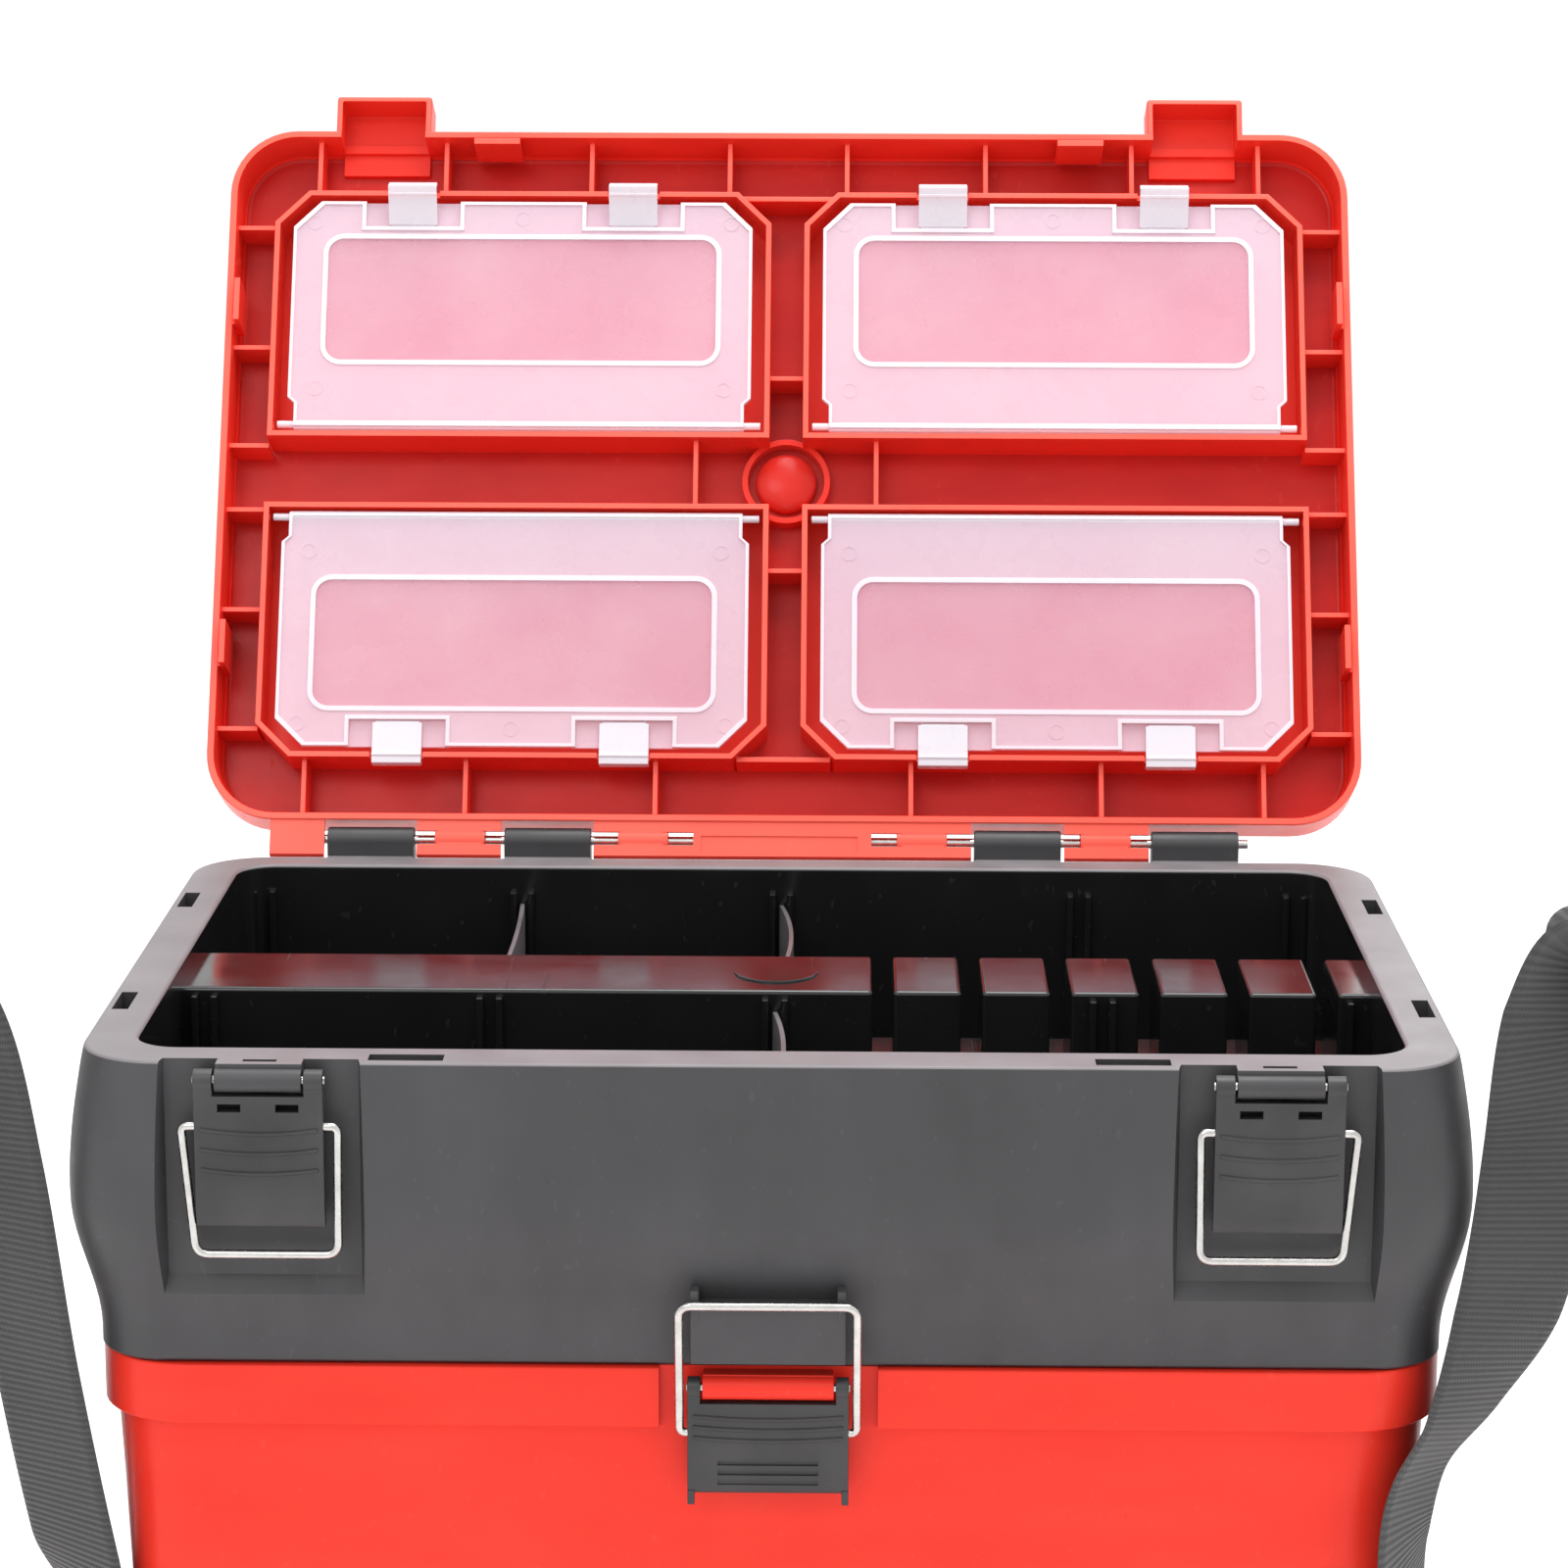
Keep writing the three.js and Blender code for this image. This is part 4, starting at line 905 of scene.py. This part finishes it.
def lid_pockets():
    walls = sides(lambda side_x: [pocket_wall(side_x, side_y) for side_y in (-1, 1)])
    ties = []
    for side_y in (-1, 1):
        y = side_y * (POCKET_FAR + POCKET_WALL / 2)
        ties.append(block(-15.2, 15.2, y - 0.9, y + 0.9, RIM + 5, LID_INSIDE + 1))
    holes = [
        bar(4 - HALF_W, HALF_W - 4, side_y * COVER_AXIS_D, COVER_AXIS_Z, 1.6, 20, 0)
        for side_y in (-1, 1)
    ]
    notches = [
        snap_notch(side_x * POCKET_MIDDLE_X + k * SNAP_OFFSET, side_y)
        for side_x in (-1, 1) for side_y in (-1, 1) for k in (-1, 1)
    ]
    return cut(join([*walls, *ties]), [*holes, *notches])


def lid_ribs():
    z = (RIM + 4.5, LID_INSIDE + 1)
    wall_x, wall_y = POCKET_OUTER_X + POCKET_WALL - 0.5, POCKET_FAR + POCKET_WALL - 0.5
    skirt_x, skirt_y = HALF_W - LID_SKIN + 0.5, HALF_D - LID_SKIN + 0.5

    def upright(x, y0, y1):
        return block(x - 0.8, x + 0.8, min(y0, y1), max(y0, y1), *z, 0.25)

    def level(y, x0, x1):
        return block(min(x0, x1), max(x0, x1), y - 0.8, y + 0.8, *z, 0.25)

    ribs = []
    for side in (-1, 1):
        ribs += [upright(side * x, -wall_y, -skirt_y) for x in (19.5, 65.5, 114, 156)]
        ribs += [upright(side * x, wall_y, skirt_y) for x in (41, 102, 154)]
        ribs += [level(y, side * wall_x, side * skirt_x) for y in (-85, -43, -9, 13, 47, 87)]
        ribs.append(upright(side * 29.5, 1 - POCKET_NEAR, POCKET_NEAR - 1))
    ribs += [level(y, -POCKET_INNER_X, POCKET_INNER_X) for y in (-33, 33)]
    return ribs


def lid_tabs():
    """Thin tabs that drop into the slots of the tray's rim."""
    z = (RIM - 4, RIM + 12)
    tabs = []
    for side in (-1, 1):
        for y in (-57, 60):
            tabs.append(side_block(side, 180, 182, y - 7.3, y + 7.3, *z, 0.3))
            tabs.append(side_block(side, 180.4, 183, y - 7.3, y + 7.3, RIM + 0.6, RIM + 12, 0.2))
        tabs.append(side_block(side, 89, 104.3, -113.9, -111.7, *z, 0.3))
        tabs.append(side_block(side, 95.7, 97.6, 1 - HALF_D, -111.9, RIM + 3, RIM + 12, 0.2))
    return tabs


def lid_catch(side):
    """The catch that a side bail hooks over, with a pad behind it in the rim channel."""
    x, y = side * SIDE_LATCH_X, -HALF_D
    body = block(x - CATCH_HALF, x + CATCH_HALF, y - CATCH_REACH, y + 1, RIM + 1.2, CATCH_TOP, 1)
    half = CATCH_ROOM_HALF + 0.5
    pad = block(x - half, x + half, y + 1, y + 10, CATCH_TOP - 1, LID_INSIDE + 1, 0.3)
    return [body, pad]


def catch_hollow(side):
    """The room in a catch, which also lowers the skirt to a sill behind it."""
    near, far = SIDE_LATCH_X - CATCH_ROOM_HALF, SIDE_LATCH_X + CATCH_ROOM_HALF
    y, ceiling = -HALF_D, CATCH_CEILING
    return [
        side_block(side, near, far, y - 11, y - 0.2, RIM - 1, ceiling, 0.6),
        side_block(side, near, far, y - 1, y + LID_SKIN + 0.3, RIM - 1, ceiling - 1, 0),
    ]


def lid_flange():
    """The thin flange under the rear edge, open round the tray's knuckles and over the rods."""
    under, top = LID_AXIS_Z - 3.6, LID_AXIS_Z - 1.9
    sheet = profile([
        (HALF_D - 1, under), (LID_AXIS_Y + 5.65, under),
        (LID_AXIS_Y + 6.42, top), (HALF_D - 1, top),
    ], FLANGE_LEFT, FLANGE_RIGHT, 0.25)
    gaps = sides(lambda side: [
        side_block(side, x - 14.8, x + 14.8, HALF_D, HALF_D + 14, under - 1, top + 1, 0)
        for x in TRAY_KNUCKLES
    ])
    windows = sides(lambda side: [
        side_block(side, near, far, LID_AXIS_Y - 2.2, LID_AXIS_Y + 2.2, under - 1, top + 1, 0)
        for near, far in FLANGE_WINDOWS
    ])
    recess = block(-26, 24, LID_AXIS_Y - 1, LID_AXIS_Y + 4.8, under - 1, under + 0.4, 0)
    return cut(sheet, [*gaps, *windows, recess])


def lid_hinge():
    """Two pairs of knuckles and the flange that shows the rods."""
    knuckles = sides(lambda side: [
        solid for middle in LID_KNUCKLES for solid in (
            bar(side * middle - 8, side * middle + 8, LID_AXIS_Y, LID_AXIS_Z, 4, 36, 0.4),
            block(side * middle - 8, side * middle + 8, HALF_D - 1, LID_AXIS_Y,
                  RIM + 1.4, LID_AXIS_Z + 3.4),
        )
    ])
    bore = bar(-HALF_W, HALF_W, LID_AXIS_Y, LID_AXIS_Z, ROD_RADIUS + GAP, 24, 0)
    return cut(join([*knuckles, lid_flange()]), [bore])


def is_lid_edge(centre, normal):
    """The thin edges that face the tray, painted a paler red as painted light for the light that passes
    through the thin plastic.
    """
    return normal.z < -0.6 and centre.z < RIM + 7


def is_lid_channel(centre, normal):
    """The floor of the channels round and between the pockets, painted a darker red as painted shade.
    """
    x, y = abs(centre.x), abs(centre.y)
    in_pocket = POCKET_INNER_X < x < POCKET_OUTER_X and POCKET_NEAR < y < POCKET_FAR
    return normal.z < -0.6 and centre.z > LID_INSIDE - 1.5 and not in_pocket


def lid():
    rings = [(-0.4, RIM + GAP), (0, RIM + GAP + 0.5), (0, LID_TOP - 5)]
    rings += arc(-4.4, LID_TOP - 4.6, 4.5, 8, 90, 6)
    outer = stack(HALF_W, -HALF_D, HALF_D, CORNER, rings)
    room = [(-0.2, RIM - 1), (-0.2, RIM + GAP), (-0.5, RIM + 1), (-0.7, LID_INSIDE - 2)]
    room += arc(-2.7, LID_INSIDE - 2, 2, 0, 90, 4)
    hollow = stack(HALF_W - 2, 2 - HALF_D, HALF_D - 2, CORNER - 2, room)
    seat = stack(150, -85, 85, 30, [(-0.6, LID_TOP - 1), (0.4, LID_TOP + 0.5)])
    boss = cut(disc(0, 0, RIM + 12, LID_INSIDE + 1, 14.5), [
        disc(0, 0, RIM + 11, LID_INSIDE - 0.5, 12.6, edge=0),
    ])
    shell = cut(outer, [hollow, seat])
    catches = sides(lid_catch)
    whole = join([shell, lid_pockets(), *lid_ribs(), boss, *lid_tabs(), *catches, lid_hinge()])
    whole = cut(whole, sides(catch_hollow))
    # painted light: the thin edges facing the tray get a paler red for light passing through the thin
    # plastic
    paint(whole, is_lid_edge, 1)
    # painted shade: the channel floors get a darker red for the shade between the ribs and pocket walls
    paint(whole, is_lid_channel, 2)
    place(whole, "lid_shell", "lid", "lid", "red_plastic", [RED, RED_EDGE_PAINTED_LIGHT, RED_CHANNEL_PAINTED_SHADE], LID_PLACE)


def lid_plug():
    """A domed cap in the boss at the middle of the lid."""
    radius, dome, skirt, steps, turns = 10, 3.2, 2, 10, 48
    base = LID_INSIDE - 0.5 - skirt - GAP
    bm = bmesh.new()
    rows = []
    shape = [(radius, skirt)] + [
        (radius * math.cos(math.pi / 2 * i / steps), -dome * math.sin(math.pi / 2 * i / steps))
        for i in range(steps)
    ]
    for r, drop in shape:
        rows.append([
            bm.verts.new((r * math.cos(a), r * math.sin(a), base + drop))
            for a in (2 * math.pi * i / turns for i in range(turns))
        ])
    for low, high in zip(rows, rows[1:]):
        for i in range(turns):
            j = (i + 1) % turns
            bm.faces.new((low[i], low[j], high[j], high[i]))
    bm.faces.new(rows[0])
    tip = bm.verts.new((0, 0, base - dome))
    for i in range(turns):
        bm.faces.new((rows[-1][i], rows[-1][(i + 1) % turns], tip))
    place(as_object(bm), "lid_plug_cap", "lid", "lid_center_plug", "red_plastic", [RED_CAP], LID_PLACE)


# ---- pocket covers and their snaps, drawn round the cover's own hinge axis ----
def ring_bead(outline_at, low, high, radius):
    """A raised line between two outlines."""
    outer = slab(outline_at(0), low, high, radius)
    inner = slab(outline_at(1), low - 1, high + 1, 0)
    return cut(outer, [inner])


def cover_outline(inset=0):
    half, far, tuck = COVER_HALF - inset, COVER_FAR - COVER_AXIS_D - inset, 2.2
    near = COVER_NEAR - COVER_AXIS_D + 1 + inset
    return [
        (tuck - half, near), (half - tuck, near), (half - tuck, 7), (half, 9), (half, far - 9),
        (half - 9, far), (9 - half, far), (-half, far - 9), (-half, 9), (tuck - half, 7),
    ]


def cover_solid():
    face, far = COVER_FACE, COVER_FAR - COVER_AXIS_D
    plate = slab(cover_outline(), face, face + COVER_THICK, 0.3)
    tuck = 2.2
    barrel = bar(tuck - COVER_HALF, COVER_HALF - tuck, 0, 0, 2, 28, 0.3)
    wells = [
        block(x - 15.6, x + 15.6, SNAP_ROOT - 1.4, far + 1, face - 1, face + COVER_THICK + 1, 0)
        for x in (-SNAP_OFFSET, SNAP_OFFSET)
    ]
    lips = []
    for x in (-SNAP_OFFSET, SNAP_OFFSET):
        lips.append(block(x - 17, x + 17, SNAP_ROOT - 2.8, SNAP_ROOT - 1.4, face - 0.5, face + 2, 0.2))
        lips += [
            block(x + k * 16.3 - 0.7, x + k * 16.3 + 0.7, SNAP_ROOT - 2.6, far - 0.3,
                  face - 0.5, face + 3, 0.2)
            for k in (-1, 1)
        ]
    pans = [
        block(x - 16.8, x + 16.8, SNAP_ROOT - 2.6, far, -0.4, 0.8, 0.2)
        for x in (-SNAP_OFFSET, SNAP_OFFSET)
    ]
    stubs = bar(-COVER_HALF - 3.2, COVER_HALF + 3.2, 0, 0, 1.2, 20, 0.2)
    bead = ring_bead(
        lambda k: rounded_rect(66 - 1.8 * k, 20 + 1.8 * k, 66 - 1.8 * k, 7 - 1.8 * k, 8),
        face - 0.5, face + 0.5, 0.4,
    )
    lip = ring_bead(lambda k: cover_outline(0.01 + 1.1 * k), face - 0.45, face + 0.4, 0.2)
    lip = cut(lip, [
        block(x - 15.6, x + 15.6, SNAP_ROOT - 1.4, far + 1, face - 1, face + COVER_THICK + 1, 0)
        for x in (-SNAP_OFFSET, SNAP_OFFSET)
    ])
    pips = [
        ring_bead(lambda k, x=x, y=y: circle(x, y, 2.6 - 0.5 * k), face - 0.15, face + 0.3, 0)
        for x, y in ((-69, 70), (0, 71.5), (69, 70), (-67, 12), (67, 12))
    ]
    panel = slab(rounded_rect(64.2, 21.8, 64.2, 5.2, 8), face - 1, face + PANEL_DEPTH, 0)
    plate = cut(join([plate, barrel]), [*wells, panel])
    return join([plate, stubs, *pans, *lips, bead, lip, *pips])


def circle(x, y, radius, steps=24):
    turns = [2 * math.pi * i / steps for i in range(steps)]
    return [(x + radius * math.cos(a), y + radius * math.sin(a)) for a in turns]


def is_cover_edge(centre, normal):
    """The thick lips, beads and barrel, which look whiter than the plate."""
    raised = centre.z < COVER_FACE - 0.2
    return raised or centre.y < 1.5 or abs(normal.z) < 0.5


def is_cover_middle(centre, normal):
    """The panel inside the raised line, which lets more of the red through and is tinted a deeper pink
    as painted red light from behind.
    """
    return abs(centre.z - COVER_FACE - PANEL_DEPTH) < 0.05 and abs(normal.z) > 0.5


def snap_solid():
    half, thick = 8, SNAP_THICK / 2
    plate = block(-half, half, -0.5, SNAP_REACH, -thick, thick, 0.3)
    hook = block(-half, half, SNAP_REACH - 1.3, SNAP_REACH, -thick, 3.6, 0.3)
    grip = block(-half, half, SNAP_REACH - 3.4, SNAP_REACH - 2.4, -thick - 0.5, 0, 0.2)
    web = block(-half + 1, half - 1, -1, 0.6, -0.3, 0.5, 0.1)
    return join([plate, hook, grip, web])


def cover_set(row, column):
    side_x = -1 if column == "left" else 1
    shut = row == "bottom"
    seat = LID_PLACE @ move(side_x * POCKET_MIDDLE_X, 0, COVER_AXIS_Z)
    if not shut:
        seat = seat @ Matrix.Rotation(math.pi, 4, "Z")
    seat = seat @ move(0, COVER_AXIS_D, 0)
    name = f"cover_{row}_{column}"
    plate = cover_solid()
    paint(plate, is_cover_edge, 1)
    # painted light: the middle panel gets the deeper pink tint standing for red light glowing through
    paint(plate, is_cover_middle, 2)
    looks = [FROSTED, FROSTED_EDGE, FROSTED_MIDDLE_PAINTED_GLOW]
    place(plate, name + "_plate", name, name, "clear_plastic", looks, seat)
    root_z = COVER_FACE + SNAP_THICK / 2 - 0.2
    for k in (-1, 1):
        label = "a" if (k if shut else -k) < 0 else "b"
        snap = f"snap_{row}_{column}_{label}"
        spot = seat @ move(k * SNAP_OFFSET, SNAP_ROOT, root_z) @ turn_x(0 if shut else -SNAP_OPEN)
        place(snap_solid(), snap + "_clip", snap, snap, "clear_plastic", [FROSTED_EDGE], spot)


# ---- hinge rods and latch pins ----
def rod(node, body, x0, x1, y, z, radius):
    place(bar(x0, x1, y, z, radius, 32, 0.3), node + "_bar", body, node, "steel", [STEEL])


def rods_and_pins():
    for name, side in (("left", -1), ("right", 1)):
        x0, x1 = sorted((side * 27, side * 148.5))
        rod(f"lid_hinge_rod_{name}", "tray", x0, x1, LID_AXIS_Y, LID_AXIS_Z, ROD_RADIUS)
        x = side * TRAY_HINGE_X
        rod(f"tray_hinge_pin_{name}", "bucket", x - 17, x + 17, TRAY_AXIS_Y, TRAY_AXIS_Z, ROD_RADIUS)
        reach = SIDE_LEVER["half"] + 0.4
        x = side * SIDE_LATCH_X
        rod(f"latch_pin_{name}", "tray", x - reach, x + reach, SIDE_LATCH_Y, SIDE_LATCH_Z, PIN_RADIUS)
    reach = CENTRE_LEVER["half"] + 0.4
    rod("latch_pin_center", "bucket", -reach, reach, CENTRE_LATCH_Y, CENTRE_LATCH_Z, PIN_RADIUS)


# ---- draw latches, drawn round the lever's axis with the lever hanging ----
def bowed_ridge(half, z, y, sag=1.2, steps=10):
    """A low ridge across a lever that dips in its middle."""
    xs = [half * (2 * i / steps - 1) for i in range(steps + 1)]
    points = [(x, y, z - sag * (1 - (x / half) ** 2)) for x in xs]
    return tube(points, 0.55, 12)


def lever_solid(size, centre):
    half, tongue, length = size["half"], size["tongue"], size["length"]
    plate = profile([
        (0.9, -3.9), (-2.4, -3.9), (-2.4, 4 - length),
        (-1.8, 0.8 - length), (-1.2, -length), (0.9, -length),
    ], -half, half, 0.4)
    ears = []
    for side in (-1, 1):
        x0, x1 = sorted((side * (tongue + 0.6), side * half))
        ears.append(bar(x0, x1, 0, 0, 3, 32, 0.3))
        ears.append(block(x0, x1, -2.4, 0.9, -5, 0.5, 0.3))
    ridges = [bowed_ridge(half - 1.6, z, -2.45) for z in (-13, -18.5, -24)]
    extras = []
    holes = [bar(-half - 1, half + 1, 0, 0, PIN_RADIUS + GAP, 24, 0)]
    if centre:
        holes += [block(-13.5, 13.5, -3.4, -1.7, z - 0.7, z + 0.7, 0) for z in (-20.6, -23.4, -26.2)]
        ridges = [bowed_ridge(half - 1.6, z, -2.45, 0.9) for z in (-7.4, -10.4, -13.4)]
        extras = sides(lambda side: [
            side_block(side, half - 1.9, half, -2.1, 0.9, -length - 3.2, 1 - length, 0.3),
        ])
    else:
        holes += sides(lambda side: [side_block(side, 4.6, 10.8, -4, 2, -8.2, -6, 0)])
    for side in (-1, 1):
        x0, x1 = sorted((side * (half - 5.4), side * (half + 1)))
        holes.append(bar(x0, x1, -BAIL_BACK, -BAIL_DROP, WIRE_RADIUS + 0.35, 24, 0))
    return cut(join([plate, *ears, *ridges, *extras]), holes)


def bail_path(size, squeeze):
    """The wire's middle line, its ends turned inward. squeeze moves each lower corner inward."""
    leg, end, low, bend, eye = size["bail"], size["half"] - 4.8, -size["reach"], 3.6, 1.9
    corners = [
        ((-end, 0), 0), ((-leg, 0), eye), ((-leg + squeeze[0], low), bend),
        ((leg - squeeze[1], low), bend), ((leg, 0), eye), ((end, 0), 0),
    ]
    points = []
    for i, (corner, radius) in enumerate(corners):
        here = Vector(corner)
        if not radius:
            points.append((here.x, 0, here.y))
            continue
        back = (Vector(corners[i - 1][0]) - here).normalized() * radius
        ahead = (Vector(corners[i + 1][0]) - here).normalized() * radius
        for k in range(9):
            t = k / 8
            p = here + back * (1 - t) ** 2 + ahead * t ** 2
            points.append((p.x, 0, p.y))
    return points


def latch(name, size, x, y, z, bail_turn, squeeze):
    seat = move(x, y, z)
    lever = f"lever_{name}"
    solid = lever_solid(size, name == "center")
    place(solid, lever + "_plate", lever, lever, "black_plastic", [LEVER], seat)
    bail = f"bail_{name}"
    spot = seat @ move(0, -BAIL_BACK, -BAIL_DROP) @ turn_x(bail_turn)
    wire = tube(bail_path(size, squeeze), WIRE_RADIUS)
    place(wire, bail + "_wire", bail, bail, "steel", [STEEL], spot, 60)


# ---- strap ----
def route_point(points, t):
    """A centripetal Catmull-Rom curve through points, at t from 0 to 1."""
    last = len(points) - 1
    at = min(t, 1) * last
    i = min(int(at), last - 1)
    w = at - i
    p1, p2 = points[i], points[i + 1]
    p0 = points[i - 1] if i else p1 * 2 - p2
    p3 = points[i + 2] if i + 2 <= last else p2 * 2 - p1
    d0, d1, d2 = (max((b - a).length, 1e-6) ** 0.5 for a, b in ((p0, p1), (p1, p2), (p2, p3)))
    m1 = ((p1 - p0) / d0 - (p2 - p0) / (d0 + d1) + (p2 - p1) / d1) * d1
    m2 = ((p2 - p1) / d1 - (p3 - p1) / (d1 + d2) + (p3 - p2) / d2) * d1
    square = p2 * 3 - p1 * 3 - m1 * 2 - m2
    cube = p1 * 2 - p2 * 2 + m1 + m2
    return p1 + m1 * w + square * w * w + cube * w * w * w


def strap_section(steps=18):
    """The webbing's section: flat, with round edges and a slightly thicker woven border."""
    top = []
    for i in range(steps + 1):
        u = 2 * i / steps - 1
        edge = max(0.0, 1 - ((1 - abs(u)) / 0.06)) if abs(u) > 0.94 else 0.0
        swell = 0.16 * math.exp(-(((abs(u) - 0.86) / 0.05) ** 2))
        half = (STRAP_THICK / 2 - 0.16) * math.sqrt(max(0.0, 1 - edge * edge)) + swell
        top.append((u * STRAP_WIDTH / 2, max(half, 0.12)))
    return top + [(x, -y) for x, y in reversed(top)]


def strap():
    route = [Vector(p) for p in STRAP_ROUTE]
    across = [Vector(p) for p in STRAP_ACROSS]
    section, steps = strap_section(), 640
    bm = bmesh.new()
    cloth = bm.verts.layers.float_vector.new("cloth")
    rows, middle, length = [], [], 0.0
    for i in range(steps + 1):
        t = i / steps
        here = route_point(route, t)
        ahead = route_point(route, min(t + 1e-4, 1)) - route_point(route, max(t - 1e-4, 0))
        tangent = ahead.normalized()
        wide = route_point(across, t)
        wide = (wide - tangent * wide.dot(tangent)).normalized()
        normal = tangent.cross(wide)
        if middle:
            length += (here - middle[-1]).length
        middle.append(here)
        row = []
        for x, y in section:
            v = bm.verts.new(here + wide * x + normal * y)
            v[cloth] = (length, x, 0)
            row.append(v)
        rows.append(row)
    count = len(section)
    for low, high in zip(rows, rows[1:]):
        for i in range(count):
            j = (i + 1) % count
            bm.faces.new((low[i], low[j], high[j], high[i]))
    bm.faces.new(rows[0][::-1])
    bm.faces.new(rows[-1])
    band = place(as_object(bm), "strap_webbing", "bucket", "strap", "webbing", [WEBBING], None, 70)


def strap_anchor(name, side):
    x0, x1 = sorted((side * 175, side * 189))
    y = -84
    body = profile([
        (y - 25, 34), (y + 25, 34), (y + 25, 60), (y + 21.4, 66), (y - 21.4, 66), (y - 25, 60),
    ], x0, x1, 1.0, 3)
    mouth = side_block(side, 181.2, 186.6, y - 19.8, y + 19.8, 56, 68, 0)
    screws = [
        bar(*sorted((side * 188.4, side * 189.6)), y + k * 14, 42, 4, 32, 0.5) for k in (-1, 1)
    ]
    whole = join([cut(body, [mouth]), *screws])
    place(whole, f"strap_anchor_{name}_block", "bucket", f"strap_anchor_{name}",
          "black_plastic", [LEVER])


def strap_keeper():
    _, y, z = next(p for p in STRAP_ROUTE if p[0] == 0)
    body = block(-13, 13, y - 3.6, y + 3.6, 0.4, z + 21.5, 1.2, 3)
    throat = block(-14, 14, y - 1.8, y + 1.8, z - 19.7, z + 19.7, 0)
    grips = [block(x - 0.6, x + 0.6, y - 4, y - 2.6, 6, z + 15, 0.3) for x in (-7, 0, 7)]
    whole = join([cut(body, [throat]), *grips])
    place(whole, "strap_keeper_block", "bucket", "strap_keeper", "black_plastic", [LEVER])


# ---- everything ----
RED = red_plastic()
# painted light: a paler red for the lid's thin edges, standing for light passing through the thin
# plastic
RED_EDGE_PAINTED_LIGHT = red_plastic("red_edge_painted_light", (0.95, 0.13, 0.09), (0.9, 0.1, 0.07))
# painted shade: a darker red for the shaded floors of the lid's channels
RED_CHANNEL_PAINTED_SHADE = red_plastic("red_channel_painted_shade", (0.5, 0.012, 0.01), (0.4, 0.008, 0.007))
RED_CAP = red_plastic("red_cap", (0.62, 0.02, 0.014), (0.5, 0.014, 0.01))
BLACK = black_plastic()
GLOSS = gloss_black()
# painted sheen: a lighter grey for the soft reflection along the tray's rim top
RIM_PAINTED_SHEEN = fitting_plastic("black_rim_painted_sheen", (0.15, 0.138, 0.145), (0.2, 0.184, 0.192), (0.42, 0.56))
LEVER = fitting_plastic("black_fitting", (0.018, 0.018, 0.019), (0.04, 0.039, 0.041))
DIVIDER = fitting_plastic("grey_sheet", (0.09, 0.085, 0.088), (0.16, 0.15, 0.155), (0.28, 0.42))
# painted light: the covers' pink tint stands for red light from the lid glowing through the milky
# plastic; the see-through share (alpha) is real
FROSTED = frosted_plastic("frosted", (0.8, 0.64, 0.76), 0.45)
FROSTED_MIDDLE_PAINTED_GLOW = frosted_plastic("frosted_middle_painted_glow", (0.72, 0.34, 0.46), 0.38)
FROSTED_EDGE = frosted_plastic("frosted_edge", (0.82, 0.78, 0.84), 0.72)
STEEL = steel()
WEBBING = webbing()

make_camera()
make_studio()
make_floor()
strap_keeper()
strap()
strap_anchor("left", -1)
strap_anchor("right", 1)
bucket()
tray()
dividers()
lid()
lid_plug()
for row in ("top", "bottom"):
    for column in ("left", "right"):
        cover_set(row, column)
rods_and_pins()
latch("left", SIDE_LEVER, -SIDE_LATCH_X, SIDE_LATCH_Y, SIDE_LATCH_Z, 0, (3.2, 0.4))
latch("right", SIDE_LEVER, SIDE_LATCH_X, SIDE_LATCH_Y, SIDE_LATCH_Z, 0, (0.4, 3.2))
latch("center", CENTRE_LEVER, 0, CENTRE_LATCH_Y, CENTRE_LATCH_Z, CENTRE_BAIL_TURN, (0, 0))
